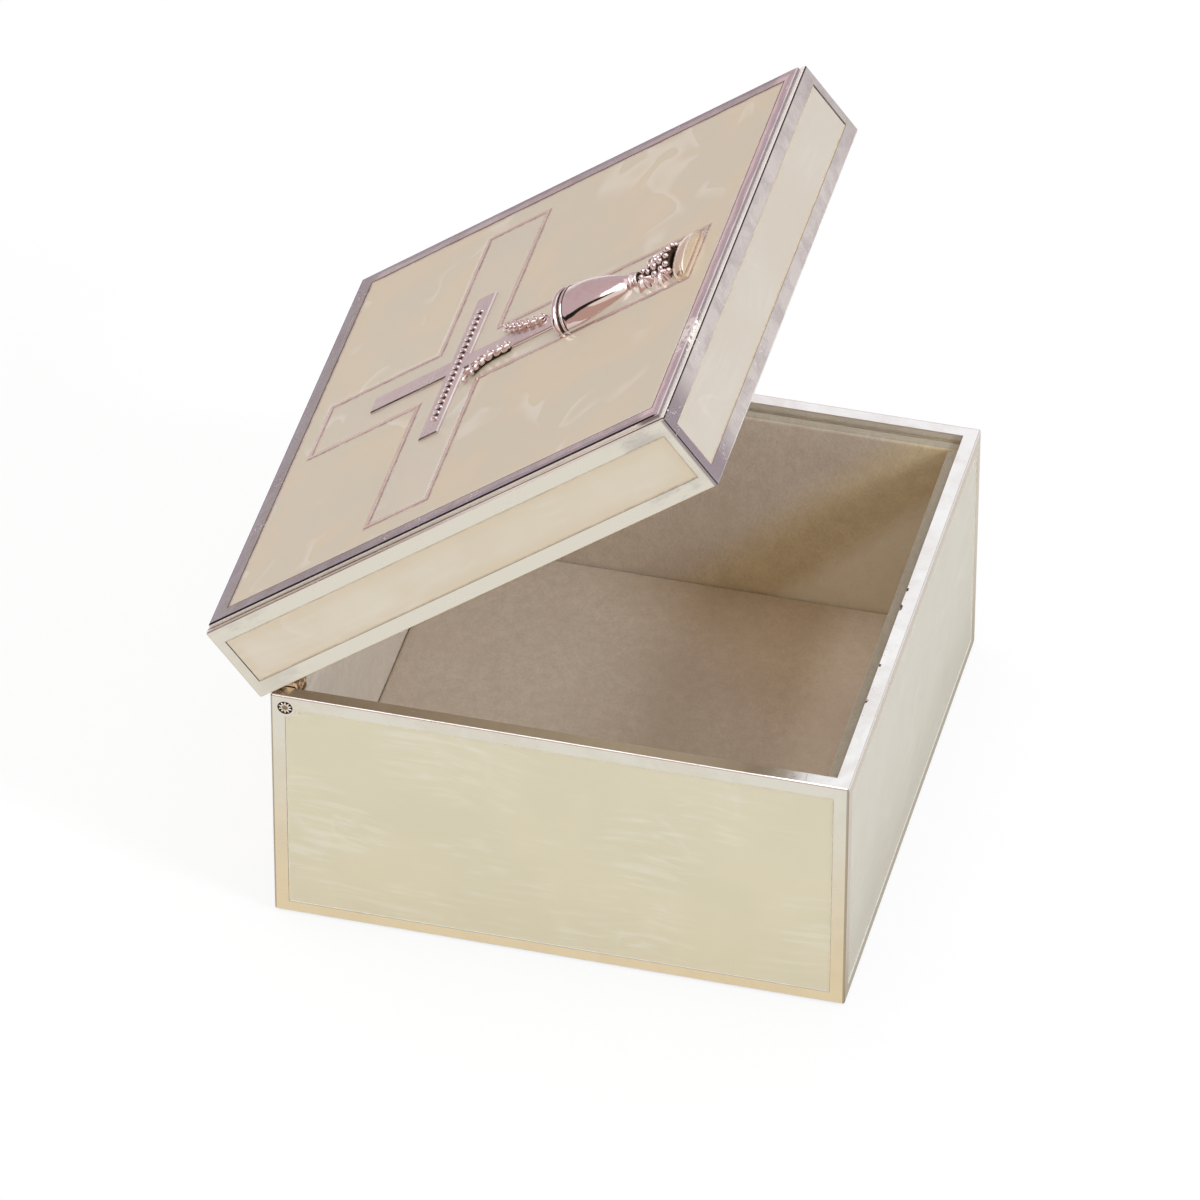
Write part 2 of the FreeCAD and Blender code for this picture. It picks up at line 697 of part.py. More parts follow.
def make_lid_lining():
    block("lid_lining_top", both_ways("inner_x - lining_clearance"), lid_span("inner_y - lining_clearance"),
          ("plate_base - lid_lining", "plate_base"), on_lid=True)
    upright = ("lid_bottom + lid_lining_drop", "plate_base - lid_lining - lining_clearance")
    along = (lid_y("0 - (inner_y - lining_clearance)"), "0 - (lug_front + hinge_clearance)")
    for name, side in SIDES.items():
        block(f"lid_lining_{name}", on_side(side, "lid_lined_x", "inner_x"), along, upright, on_lid=True)
    widths = {"front": "lid_lined_x - lining_clearance", "back": "notch_inner"}
    for name, end in ENDS.items():
        depth = tuple(lid_y(text) for text in on_side(end, "lid_lined_y", "inner_y"))
        block(f"lid_lining_{name}", both_ways(widths[name]), depth, upright, on_lid=True)


def check_model():
    """Stop if any object failed, any piece is not one sound shape, or a cut removed nothing."""
    for item in doc.Objects:
        if "Invalid" in item.State or "Error" in item.State:
            raise RuntimeError(f"{item.Label} failed: {item.State}")
        if item.TypeId == "PartDesign::Pocket" and item.Shape.Volume >= item.BaseFeature.Shape.Volume:
            raise RuntimeError(f"{item.Label} cuts nothing")
    for piece in pieces:
        if piece.Shape.isNull() or not piece.Shape.isValid() or not piece.Shape.Solids:
            raise RuntimeError(f"{piece.Label} has no sound shape")


make_base_shell()
make_panels("base_enamel")
make_base_lining()
make_hinge_pins()
make_hinge_lugs()
make_lid_frame()
make_panels("lid_enamel", on_lid=True)
make_lid_plate()
make_lid_enamel()
make_cross()
make_crossbar_moulding()
make_chalice()
make_wheat_ears()
make_lid_lining()
doc.recompute()
check_model()

os.makedirs("parts", exist_ok=True)
for piece in pieces:
    piece.Shape.exportStep(f"parts/{piece.Label}.step")
    print(piece.Label, len(piece.Shape.Solids), round(piece.Shape.Volume, 2))
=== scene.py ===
"""Looks of the keepsake box: enamel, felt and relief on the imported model, with camera, floor and light."""

import json
import math
import random

import bmesh
import bpy
from mathutils import Matrix, Vector, noise


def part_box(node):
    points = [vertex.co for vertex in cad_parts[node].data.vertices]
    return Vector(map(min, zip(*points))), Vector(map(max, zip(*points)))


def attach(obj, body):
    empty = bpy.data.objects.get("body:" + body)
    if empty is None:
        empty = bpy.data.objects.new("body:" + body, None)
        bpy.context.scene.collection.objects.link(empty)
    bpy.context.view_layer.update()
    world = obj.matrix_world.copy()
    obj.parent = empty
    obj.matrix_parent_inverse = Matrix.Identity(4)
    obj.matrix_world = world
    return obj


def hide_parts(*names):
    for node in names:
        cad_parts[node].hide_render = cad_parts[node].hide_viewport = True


MM = 0.001
RANDOM_SEED = 7

# The lid stands open at rest, turned back by this angle about its hinge.
OPEN_ANGLE = math.radians(38)
SIDES = {"left": (-1, 0, 0), "right": (1, 0, 0), "front": (0, -1, 0), "back": (0, 1, 0)}

random.seed(RANDOM_SEED)
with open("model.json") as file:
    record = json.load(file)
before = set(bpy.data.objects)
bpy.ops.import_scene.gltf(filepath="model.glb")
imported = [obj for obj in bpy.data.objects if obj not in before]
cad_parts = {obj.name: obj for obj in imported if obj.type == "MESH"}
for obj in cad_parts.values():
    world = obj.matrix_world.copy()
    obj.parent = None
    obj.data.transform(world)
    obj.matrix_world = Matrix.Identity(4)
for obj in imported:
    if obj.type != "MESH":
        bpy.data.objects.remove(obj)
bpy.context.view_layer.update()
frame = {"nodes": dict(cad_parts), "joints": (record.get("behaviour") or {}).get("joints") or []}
nodes = frame["nodes"]
hinge = Vector(frame["joints"][0]["pos_m"])
lid_to_world = Matrix.Translation(hinge) @ Matrix.Rotation(-OPEN_ANGLE, 4, "X")


def lid_box(node):
    """Corners of a lid node with the lid closed, measured from the hinge axis."""
    to_lid = lid_to_world.inverted()
    points = [to_lid @ vertex.co for vertex in nodes[node].data.vertices]
    return Vector(map(min, zip(*points))), Vector(map(max, zip(*points)))


def body_place(body, node):
    """Where a body stands at rest, and the corners of one of its nodes from there."""
    if body == "base":
        return Matrix.Identity(4), *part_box(node)
    return lid_to_world, *lid_box(node)


# The plan of the lid's top: x to the right, y to the hinge, z out of the enamel, from the lid's centre.
frame_low, frame_high = lid_box("lid_frame")
plate_edge = lid_box("lid_top_plate")[1].x
field_low, field_high = lid_box("lid_enamel_field")
lid_centre = Vector((0, (frame_low.y + frame_high.y) / 2, field_high.z))
plan_to_world = lid_to_world @ Matrix.Translation(lid_centre)

# Colours of the enamel and the plating.
PEARL_WHITE = (0.82, 0.79, 0.72)
GATHERED = (0.68, 0.53, 0.37)
SILVER = (0.93, 0.925, 0.92)
LID_SILVER = (0.93, 0.905, 0.88)
LID_TARNISH = (0.66, 0.615, 0.63)
WORN_AND_HIGHLIGHT_SILVER = (0.97, 0.94, 0.91)
FRONT_END = (0.44, 0.38, 0.43)
LEDGE_TAN = (0.66, 0.55, 0.43)
OUTLINE = (0.87, 0.72, 0.64)
BORDER_GREY = (0.56, 0.53, 0.54)
BORDER_DARK = (0.42, 0.39, 0.39)
BORDER_ROSE = (0.97, 0.84, 0.86)
PLATE_SHADE = (0.44, 0.39, 0.46)
WALL_PAINTED_SHADE = (0.34, 0.3, 0.32)
CORNER_REFLECTION_GREY = (0.4, 0.36, 0.32)
EDGE_BROWN = (0.22, 0.14, 0.11)
# Black for the real chips in the base's rim and for painted shade lines in the lid's edges.
CHIP_AND_SHADE_BLACK = (0.05, 0.04, 0.04)

# Scratches in the plating: stretch and turn of the noise, for two directions.
SCRATCH_WAYS = (((0.06, 1.6, 1.0), (0.2, 0.1, 0.5)), ((1.5, 0.07, 0.9), (0.3, 0.4, -0.3)))
SCRATCH_WIDTH = 1.2 * MM

# Places on the base: its corners, and the chips in the front rim.
BASE_CORNER = (49.55 * MM, 49.7 * MM)
RIM_EDGE = (-47.75 * MM, -47.1 * MM)
RIM_LEVEL = (47 * MM, 47.5 * MM)
CHIP_SPAN = (-32 * MM, 9 * MM)

# Places on the lid frame, in the lid's plan: where a look starts and where it is full.
FRONT_FACE = (-49.0 * MM, -49.5 * MM)
NEAR_END = (-33 * MM, -47 * MM)
FAR_END = (34 * MM, 47 * MM)
SIDE_ENDS = (38 * MM, 48 * MM)
TO_FRONT = (20 * MM, -20 * MM)
LEDGE_LEVEL = (-1.0 * MM, -0.85 * MM)
NEAR_LEDGE = (-48.5 * MM, -49.1 * MM)
LEDGE_LINE = (49.22 * MM, 49.5 * MM)
LEDGE_SLANT = 0.0066
LEDGE_DULLING = 0.5
END_LINE = (49.75 * MM, 49.85 * MM)
CORNER_LINE = (49.76 * MM, 49.83 * MM)

# Places on the top plate, in the lid's plan or as distances from the field's edge and the plate's.
TOP_LEVEL = (-0.1 * MM, -0.02 * MM)
WALL_SHADE = (-0.8 * MM, -0.4 * MM)
FRONT_BORDER = (-44 * MM, -46 * MM)
BACK_BORDER = (44 * MM, 46 * MM)
NEAR_BACK = (-15 * MM, 20 * MM)
NEAR_HALF = (0, -20 * MM)
WORN_SPAN = (-31 * MM, -22 * MM)
INSIDE_FIELD = (-0.3 * MM, -0.5 * MM)
FIELD_LINE = (0.0, 0.22 * MM)
SHADE_BAND = (0.2 * MM, 1.2 * MM)
EDGE_LINE = (0.36 * MM, 0.27 * MM)
FAINT_FRONT = (-48 * MM, -48.6 * MM)

# Materials


class Graph:
    """The node graph of a new material or world."""

    def __init__(self, name, owners=bpy.data.materials, shader="Principled BSDF"):
        self.owner = owners.new(name)
        self.owner.use_nodes = True
        self.tree = self.owner.node_tree
        self.shader = self.tree.nodes[shader]
        self.place = self.node("ShaderNodeTexCoord").outputs["Object"]

    def feed(self, socket, value):
        if isinstance(value, bpy.types.NodeSocket):
            self.tree.links.new(value, socket)
        else:
            socket.default_value = value

    def node(self, kind, inputs=None, **settings):
        made = self.tree.nodes.new(kind)
        for name, value in settings.items():
            setattr(made, name, value)
        for socket, value in (inputs or {}).items():
            self.feed(made.inputs[socket], value)
        return made

    def set(self, **values):
        """Sets inputs of the shader, with underscores for the spaces in their names."""
        for name, value in values.items():
            self.feed(self.shader.inputs[name.replace("_", " ")], value)

    def moved(self, offset=(0, 0, 0), scale=(1, 1, 1), turn=(0, 0, 0), place=None):
        inputs = {"Vector": place or self.place, "Location": offset, "Scale": scale, "Rotation": turn}
        return self.node("ShaderNodeMapping", inputs).outputs["Vector"]

    def plan(self):
        """The place in the lid's plan, for a CAD node of the lid."""
        back = plan_to_world.inverted()
        return self.moved(offset=back.to_translation(), turn=back.to_euler())

    def part(self, place, axis):
        return self.node("ShaderNodeSeparateXYZ", {"Vector": place}).outputs[axis]

    def parts(self, place):
        return [self.part(place, axis) for axis in "XYZ"]

    def band(self, value, low, high, soft):
        """1 where value lies between low and high, with soft edges."""
        rise = self.step(value, low - soft, low + soft)
        return self.all(rise, self.step(value, high - soft, high + soft, 1.0, 0.0))

    def noise(self, size, detail=3.0, roughness=0.5, place=None, output="Fac"):
        """Noise whose blotches are about size metres across."""
        inputs = {"Vector": place or self.place, "Scale": 1 / size, "Detail": detail, "Roughness": roughness}
        return self.node("ShaderNodeTexNoise", inputs).outputs[output]

    def bent(self, size, amount, place=None):
        """The place, shifted about by noise."""
        start = place or self.place
        shift = self.noise(size, 1.0, place=start, output="Color")
        centred = self.vector("SUBTRACT", {0: shift, 1: (0.5, 0.5, 0.5)})
        scaled = self.vector("SCALE", {0: centred, "Scale": amount})
        return self.vector("ADD", {0: start, 1: scaled})

    def ragged(self, value, reach, *look):
        """The value, shifted up to reach either way by noise of this look."""
        return self.math("ADD", value, self.step(self.noise(*look), 0.3, 0.7, -reach, reach))

    def step(self, value, low, high, start=0.0, end=1.0):
        """A soft step from start to end as value goes from low to high."""
        inputs = {"Value": value, "From Min": low, "From Max": high, "To Min": start, "To Max": end}
        return self.node("ShaderNodeMapRange", inputs, interpolation_type="SMOOTHSTEP").outputs["Result"]

    def math(self, operation, first, second):
        return self.node("ShaderNodeMath", {0: first, 1: second}, operation=operation).outputs["Value"]

    def vector(self, operation, inputs, output="Vector"):
        return self.node("ShaderNodeVectorMath", inputs, operation=operation).outputs[output]

    def size(self, value):
        return self.math("ABSOLUTE", value, 0)

    def all(self, first, *others):
        """The product of several values."""
        for other in others:
            first = self.math("MULTIPLY", first, other)
        return first

    def mix(self, share, first, second):
        made = self.node("ShaderNodeMix", data_type="RGBA")
        self.feed(made.inputs["Factor"], share)
        for socket, colour in (("A", first), ("B", second)):
            named = [item for item in made.inputs if item.name == socket and item.type == "RGBA"][0]
            self.feed(named, colour if isinstance(colour, bpy.types.NodeSocket) else (*colour, 1))
        return [item for item in made.outputs if item.type == "RGBA"][0]

    def bump(self, height, depth, normal=None, strength=1.0):
        inputs = {"Height": height, "Distance": depth, "Strength": strength}
        if normal:
            inputs["Normal"] = normal
        return self.node("ShaderNodeBump", inputs).outputs["Normal"]

    def glow(self, colour):
        return self.node("ShaderNodeEmission", {"Color": colour}).outputs["Emission"]

    def show(self, shader):
        """Puts another shader on the surface."""
        self.tree.links.new(shader, self.tree.nodes["Material Output"].inputs["Surface"])


class Plating:
    """Silver plating: slow ripples, smears, fine scratches and small worn specks."""

    def __init__(
        self, name, clean, tarnish, worn=WORN_AND_HIGHLIGHT_SILVER,
        gloss=0.14, wear=0.62, scratched=0.3, ripple=(7 * MM, 0.05 * MM), blotch=9 * MM,
    ):
        graph = self.graph = Graph(name)
        self.worn = worn
        self.scratched = scratched
        self.ripple = ripple
        smear = graph.noise(blotch, 5.0, 0.6, graph.bent(1.5 * blotch, blotch))
        ways = [graph.moved(scale=scale, turn=turn) for scale, turn in SCRATCH_WAYS]
        lines = [graph.noise(SCRATCH_WIDTH, 4.0, 0.7, way) for way in ways]
        self.scratches = graph.step(graph.math("MAXIMUM", *lines), 0.64, 0.76)
        speck = graph.step(graph.noise(0.45 * MM, 2.0, 0.5), 0.6, 0.7)
        region = graph.noise(11 * MM, 3.0, 0.6, graph.moved(offset=(0.031, 0.017, 0.011)))
        self.specks = graph.all(speck, graph.step(region, wear, wear + 0.12))
        self.colour = graph.mix(graph.step(smear, 0.4, 0.62), clean, tarnish)
        self.rough = graph.step(smear, 0.35, 0.7, gloss, gloss + 0.14)

    def wear_and_highlight(self, share, dulling=0.25):
        """Makes the plating pale and dull where share is 1: real wear on the specks and the worn place, a
        painted highlight on the lid's ledge and the plate's wall.
        """
        self.colour = self.graph.mix(share, self.colour, self.worn)
        self.rough = self.graph.math("ADD", self.rough, self.graph.all(share, dulling))

    def tone(self, share, colour):
        self.colour = self.graph.mix(share, self.colour, colour)

    def done(self):
        graph = self.graph
        self.tone(graph.all(self.scratches, self.scratched), self.worn)
        self.wear_and_highlight(self.specks)
        size, depth = self.ripple
        ripple = graph.bump(graph.noise(size, 2.0), depth)
        fine = graph.bump(self.scratches, 0.004 * MM, ripple)
        pitted = graph.bump(self.specks, 0.02 * MM, fine)
        rough = graph.math("ADD", self.rough, graph.all(self.scratches, 0.1))
        graph.set(Base_Color=self.colour, Metallic=1.0, Roughness=rough, Normal=pitted)
        return graph.owner


def plated_metal(*look, **more):
    return Plating(*look, **more).done()


def shell_metal(name, clean, tarnish):
    """The base's plating: painted dark reflections down its corners, and chips in the inner edge of the
    front rim.
    """
    plating = Plating(name, clean, tarnish)
    graph = plating.graph
    across, along, up = graph.parts(graph.place)
    corner = [graph.step(graph.size(part), *BASE_CORNER) for part in (across, along)]
    # Painted reflection: dark lines down the four corners stand in for the shadowed floor that they reflect.
    plating.tone(graph.all(*corner, 0.75), CORNER_REFLECTION_GREY)
    inner_edge = graph.all(graph.band(along, *RIM_EDGE, 0.15 * MM), graph.step(up, *RIM_LEVEL))
    chips = graph.step(graph.noise(1.6 * MM, 3.0, 0.6), 0.56, 0.64)
    plating.tone(graph.all(inner_edge, chips, graph.band(across, *CHIP_SPAN, 2 * MM)), CHIP_AND_SHADE_BLACK)
    return plating.done()


def frame_metal(name, clean, tarnish):
    """The lid frame's plating: lilac stains on the front and the sides' ends, darker lilac towards the
    front's ends, a paler ledge as a painted highlight, and dark lines along its top as painted shade.
    """
    plating = Plating(name, clean, clean, wear=0.54, scratched=0.7)
    graph = plating.graph
    plan = graph.plan()
    across, along, up = graph.parts(plan)
    wide, deep = graph.size(across), graph.size(along)
    front = graph.step(along, *FRONT_FACE)
    stain = graph.noise(5 * MM, 4.0, 0.6, graph.bent(6 * MM, 5 * MM))
    plating.tone(graph.all(front, graph.step(stain, 0.4, 0.66, 0.0, 0.6)), tarnish)
    near_end = graph.step(across, *NEAR_END, 0.0, 0.95)
    far_end = graph.step(across, *FAR_END, 0.0, 0.3)
    plating.tone(graph.all(front, graph.math("MAXIMUM", near_end, far_end)), FRONT_END)
    long_stain = graph.noise(4 * MM, 4.0, 0.6, graph.moved(scale=(1, 0.35, 1), place=plan))
    at_ends = graph.all(graph.band(deep, *SIDE_ENDS, 3 * MM), graph.step(along, *TO_FRONT, 0.4, 0.8))
    on_sides = graph.all(graph.math("SUBTRACT", 1, front), graph.step(long_stain, 0.42, 0.62), at_ends)
    plating.tone(on_sides, tarnish)
    ledge = graph.step(up, *LEDGE_LEVEL)
    near_ledge = graph.all(ledge, graph.step(across, *NEAR_LEDGE))
    # Painted highlight: the ledge towards the front is paler as well as duller.
    plating.wear_and_highlight(graph.all(ledge, graph.step(along, *TO_FRONT)), LEDGE_DULLING)
    plating.tone(graph.all(near_ledge, graph.step(along, *TO_FRONT, 0.35, 0.15)), LEDGE_TAN)
    # Painted shade: dark lines along the near ledge, at the ledge's ends and down the corners stand in for
    # shade and dark reflections in the edges.
    slanting = graph.math("ADD", wide, graph.all(along, LEDGE_SLANT))
    near_line = graph.all(near_ledge, graph.band(slanting, *LEDGE_LINE, 0.08 * MM))
    end_line = graph.all(ledge, graph.step(deep, *END_LINE))
    plating.tone(graph.math("MAXIMUM", near_line, end_line), CHIP_AND_SHADE_BLACK)
    corner = [graph.step(part, *CORNER_LINE) for part in (wide, deep)]
    plating.tone(graph.all(*corner), CHIP_AND_SHADE_BLACK)
    return plating.done()


def plate_metal(name, clean, tarnish):
    """The top plate's plating: a darker mottled border, one worn place, and painted light and shade: a paler
    wall with shade high on its front, a darker band along the border's edge and dark lines in its edges.
    """
    plating = Plating(name, clean, tarnish, wear=0.56)
    graph = plating.graph
    across, along, up = graph.parts(graph.plan())
    wide, deep = graph.size(across), graph.size(along)
    from_edge = graph.math("SUBTRACT", plate_edge, graph.math("MAXIMUM", wide, deep))
    low, high = field_low - lid_centre, field_high - lid_centre
    before, behind = graph.math("SUBTRACT", low.y, along), graph.math("SUBTRACT", along, high.y)
    beside = graph.math("SUBTRACT", wide, high.x)
    past_field = graph.math("MAXIMUM", beside, graph.math("MAXIMUM", before, behind))
    top = graph.step(up, *TOP_LEVEL)
    wall = graph.math("SUBTRACT", 1, top)
    front = graph.step(along, *FRONT_BORDER)
    # Painted highlight: the plate's wall is paler as well as duller; painted shade darkens the upper part of
    # its front wall.
    plating.wear_and_highlight(wall, LEDGE_DULLING)
    plating.tone(graph.all(wall, front, graph.step(up, *WALL_SHADE)), WALL_PAINTED_SHADE)
    plating.tone(graph.step(past_field, *INSIDE_FIELD), OUTLINE)
    border = graph.all(top, graph.step(past_field, 0.0, 0.1 * MM))
    mottle = graph.step(graph.noise(5 * MM, 4.0, 0.6), 0.38, 0.62, 0.65, 1.0)
    plating.tone(graph.all(border, mottle), BORDER_GREY)
    near_back = graph.all(graph.step(along, *NEAR_BACK), graph.step(across, *NEAR_HALF))
    at_back = graph.math("MAXIMUM", graph.step(along, *BACK_BORDER), near_back)
    plating.tone(graph.all(border, at_back), BORDER_DARK)
    plating.tone(graph.all(border, front), BORDER_ROSE)
    # Painted reflection: a darker band along the border's outer edge, as its rounded edge would reflect.
    wavy = graph.ragged(from_edge, 0.25 * MM, 6 * MM, 3.0)
    shade = graph.all(graph.band(wavy, *SHADE_BAND, 0.3 * MM), graph.step(along, *FRONT_BORDER, 0.8, 0.55))
    plating.tone(graph.all(top, shade), PLATE_SHADE)
    worn_x = graph.ragged(across, 4 * MM, 3 * MM, 4.0, 0.7)
    worn_place = graph.all(graph.band(worn_x, *WORN_SPAN, 0.5 * MM), graph.step(along, *NEAR_HALF))
    plating.wear_and_highlight(graph.all(worn_place, graph.step(graph.noise(1.4 * MM, 3.0, 0.6), 0.4, 0.52)))
    plating.tone(graph.band(past_field, *FIELD_LINE, 0.06 * MM), EDGE_BROWN)
    # Painted shade: a dark line just inside the plate's edge, faint along the front.
    edge_line = graph.all(graph.step(from_edge, *EDGE_LINE), graph.step(along, *FAINT_FRONT, 1.0, 0.2))
    plating.tone(graph.all(top, edge_line), CHIP_AND_SHADE_BLACK)
    return plating.done()


def enamel(name, seed, base, deep, pearl, streaks=0.5, swirls=0.14, gathered=None):
    """Pearly enamel: soft clouds, patches of brushed streaks and a few paler swirls under a clear gloss.

    Where gathered gives a panel's half sizes, the enamel is deeper in colour along the panel's edges."""
    graph = Graph(name)
    start = graph.moved(offset=(seed * 0.137, seed * 0.071, seed * 0.053))
    clouds = graph.noise(15 * MM, 2.0, 0.45, graph.bent(28 * MM, 24 * MM, start))
    patches = graph.noise(17 * MM, 2.0, 0.5, graph.bent(22 * MM, 18 * MM, start))
    brushed = graph.moved(scale=(0.09, 1, 1), place=graph.bent(30 * MM, 9 * MM, start))
    fine = graph.noise(1.1 * MM, 3.0, 0.55, brushed)
    streaked = graph.all(graph.step(fine, 0.44, 0.7), graph.step(patches, 0.38, 0.6, 0.0, streaks))
    curl = graph.noise(15 * MM, 1.0, 0.4, graph.bent(18 * MM, 24 * MM, start))
    swirl_edges = graph.step(curl, 0.4, 0.5), graph.step(curl, 0.504, 0.52, 1.0, 0.0)
    swirl = graph.all(*swirl_edges, graph.step(patches, 0.5, 0.62, 0.0, swirls))
    ground = graph.mix(graph.step(clouds, 0.34, 0.66), deep, base)
    if gathered:
        across, along = (graph.size(graph.part(graph.place, axis)) for axis in "XY")
        from_ends = graph.math("SUBTRACT", gathered.x, across)
        from_sides = graph.math("SUBTRACT", gathered.y, along)
        inside = graph.math("MINIMUM", from_ends, from_sides)
        ground = graph.mix(graph.step(inside, 0, 3 * MM, 0.55, 0.0), ground, GATHERED)
    colour = graph.mix(streaked, ground, pearl)
    colour = graph.mix(swirl, colour, PEARL_WHITE)
    peel = graph.bump(graph.noise(5 * MM, 2.0, 0.5, start), 0.01 * MM)
    graph.set(Base_Color=colour, Roughness=graph.step(clouds, 0.3, 0.7, 0.22, 0.27), Normal=peel)
    graph.set(Coat_Weight=0.6, Coat_Roughness=0.06, IOR=1.5)
    return graph.owner


def enamel_edge(name, light, dark):
    """The thin rim of the enamel, where it gathers against the metal."""
    graph = Graph(name)
    colour = graph.mix(graph.step(graph.noise(3 * MM, 4.0, 0.6), 0.35, 0.65), dark, light)
    rough = graph.step(graph.noise(1 * MM), 0.3, 0.7, 0.2, 0.35)
    graph.set(Base_Color=colour, Roughness=rough, Coat_Weight=0.6)
    return graph.owner


def felt(name, light, dark, painted_fades=()):
    """Short cream felt: matted fibres with soft mottling.

    Each painted fade of light or shade gives the weights of the three axes, the span of their sum and the
    two colours at its end."""
    graph = Graph(name)
    for weights, span, faded_light, faded_dark in painted_fades:
        share = graph.step(graph.vector("DOT_PRODUCT", {0: graph.place, 1: weights}, "Value"), *span)
        light, dark = graph.mix(share, light, faded_light), graph.mix(share, dark, faded_dark)
    fibres = graph.noise(0.5 * MM, 6.0, 0.72, graph.bent(1.5 * MM, 1.2 * MM))
    clumps = graph.noise(2.2 * MM, 4.0, 0.65)
    mottle = graph.noise(13 * MM, 3.0, 0.55)
    nap = graph.math("ADD", graph.all(fibres, 0.6), graph.all(clumps, 0.4))
    colour = graph.mix(graph.step(nap, 0.34, 0.66), dark, light)
    colour = graph.mix(graph.step(mottle, 0.35, 0.75, 0.0, 0.35), colour, dark)
    soft = graph.bump(clumps, 0.12 * MM)
    rough = graph.bump(fibres, 0.1 * MM, soft)
    graph.set(Base_Color=colour, Roughness=0.96, Normal=rough, Specular_IOR_Level=0.15)
    graph.set(Sheen_Weight=0.25, Sheen_Roughness=0.5)
    return graph.owner


def pin_steel(name):
    """Bright steel teeth round a brownish middle, with fine grain."""
    graph = Graph(name)
    grain_look = (0.25 * MM, 4.0, 0.7)
    grain = graph.noise(*grain_look)
    out = graph.vector("LENGTH", {0: graph.moved(scale=(1, 1, 0))}, "Value")
    rim = graph.step(graph.ragged(out, 0.1 * MM, *grain_look), 0.4 * MM, 0.62 * MM)
    colour = graph.mix(rim, (0.36, 0.27, 0.2), (0.95, 0.93, 0.9))
    graph.set(Base_Color=colour, Metallic=1.0, Roughness=graph.step(grain, 0.3, 0.7, 0.24, 0.42))
    graph.set(Normal=graph.bump(grain, 0.02 * MM))
    return graph.owner


base_metal = shell_metal("base_metal", SILVER, (0.9, 0.885, 0.87))
lid_metal = frame_metal("lid_metal", LID_SILVER, LID_TARNISH)
top_metal = plate_metal("top_metal", (0.93, 0.83, 0.82), (0.85, 0.74, 0.75))
cross_metal = plated_metal("cross_metal", (0.82, 0.74, 0.73), (0.72, 0.63, 0.63), wear=0.7)
relief_metal = plated_metal("relief_metal", (0.83, 0.71, 0.71), (0.75, 0.62, 0.61), gloss=0.07)
# Dark metal: patina in the relief's hollows, and painted shade round the pins' stars and at the cup's mouth.
patina_and_shade_metal = plated_metal(
    "patina_and_shade_metal", (0.1, 0.07, 0.06), (0.04, 0.03, 0.025), LID_TARNISH, gloss=0.4, scratched=0.1
)
foot_metal = plated_metal("foot_metal", (0.92, 0.82, 0.68), (0.84, 0.7, 0.54), gloss=0.2)
lug_cast = {"gloss": 0.05, "wear": 0.5, "ripple": (1.4 * MM, 0.25 * MM), "blotch": 1.8 * MM}
lug_metal = plated_metal("lug_metal", (0.9, 0.7, 0.46), (0.2, 0.12, 0.05), **lug_cast)
steel = pin_steel("pin_steel")
LINING = ((0.745, 0.632, 0.53), (0.615, 0.498, 0.398))
lining_felt = felt("lining_felt", *LINING)
# A lighter copy of the lining felt for the back board: painted light.
back_lit_felt = felt("back_lit_felt", (0.83, 0.745, 0.655), (0.7, 0.61, 0.52))
# Darker felt for the upward faces of the left, right and front boards: painted shade.
shaded_top_felt = felt("shaded_top_felt", (0.5, 0.435, 0.35), (0.4, 0.34, 0.26))
# A darker, browner copy of the felt for the lid's lining: painted shade.
lid_shaded_felt = felt("lid_shaded_felt", (0.64, 0.52, 0.37), (0.49, 0.38, 0.25))
side_edge = enamel_edge("side_enamel_edge", (0.64, 0.51, 0.37), (0.56, 0.43, 0.29))
# A paler rim round the base's enamel: a painted highlight.
base_highlight_edge = enamel_edge("base_enamel_edge_highlight", (0.82, 0.74, 0.58), (0.74, 0.64, 0.47))
# Near white for the line along the base panels' foot: a painted highlight.
foot_highlight_edge = enamel_edge("foot_enamel_highlight", (0.97, 0.95, 0.9), (0.92, 0.88, 0.78))
top_edge = enamel_edge("top_enamel_edge", (0.57, 0.45, 0.38), (0.38, 0.28, 0.23))
dark_edge = enamel_edge("dark_enamel_edge", (0.16, 0.12, 0.09), (0.05, 0.04, 0.03))

CAD_LOOKS = {
    "base_shell": base_metal, "lid_frame": lid_metal, "lid_top_plate": top_metal, "cross": cross_metal,
    "hinge_lug_left": lug_metal, "hinge_lug_right": lug_metal,
}
for node, look in CAD_LOOKS.items():
    nodes[node].data.materials.clear()
    nodes[node].data.materials.append(look)


# Pieces
SHARP_ANGLE = math.radians(50)
MERGE_DISTANCE = 1e-7


def scene_object(name, data):
    made = bpy.data.objects.new(name, data)
    bpy.context.scene.collection.objects.link(made)
    return made


def mesh_object(name, bm, *looks):
    mesh = bpy.data.meshes.new(name)
    bm.to_mesh(mesh)
    bm.free()
    for look in looks:
        mesh.materials.append(look)
    return scene_object(name, mesh)


def add_piece(name, bm, place, body, slot, node, *looks):
    """A piece at place in these materials, which rides on body and stands for a CAD node."""
    bmesh.ops.recalc_face_normals(bm, faces=bm.faces)
    piece = mesh_object(name, bm, *looks)
    for face in piece.data.polygons:
        face.use_smooth = True
    piece.data.set_sharp_from_angle(angle=SHARP_ANGLE)
    piece.matrix_world = place
    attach(piece, body)
    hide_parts(node)
    return piece


# Enamel sheets: flat in the middle, drawn up a little against the metal along every edge.
EDGE_STEPS = (0.0, 0.12 * MM, 0.28 * MM, 0.5 * MM, 0.9 * MM)
BASE_RINGS = 2
LID_RINGS = 3
EDGE_RISE = 0.11 * MM
EDGE_REACH = 0.25 * MM
BOSS_RADIUS = 1.98 * MM
BOSS_STEPS = 6


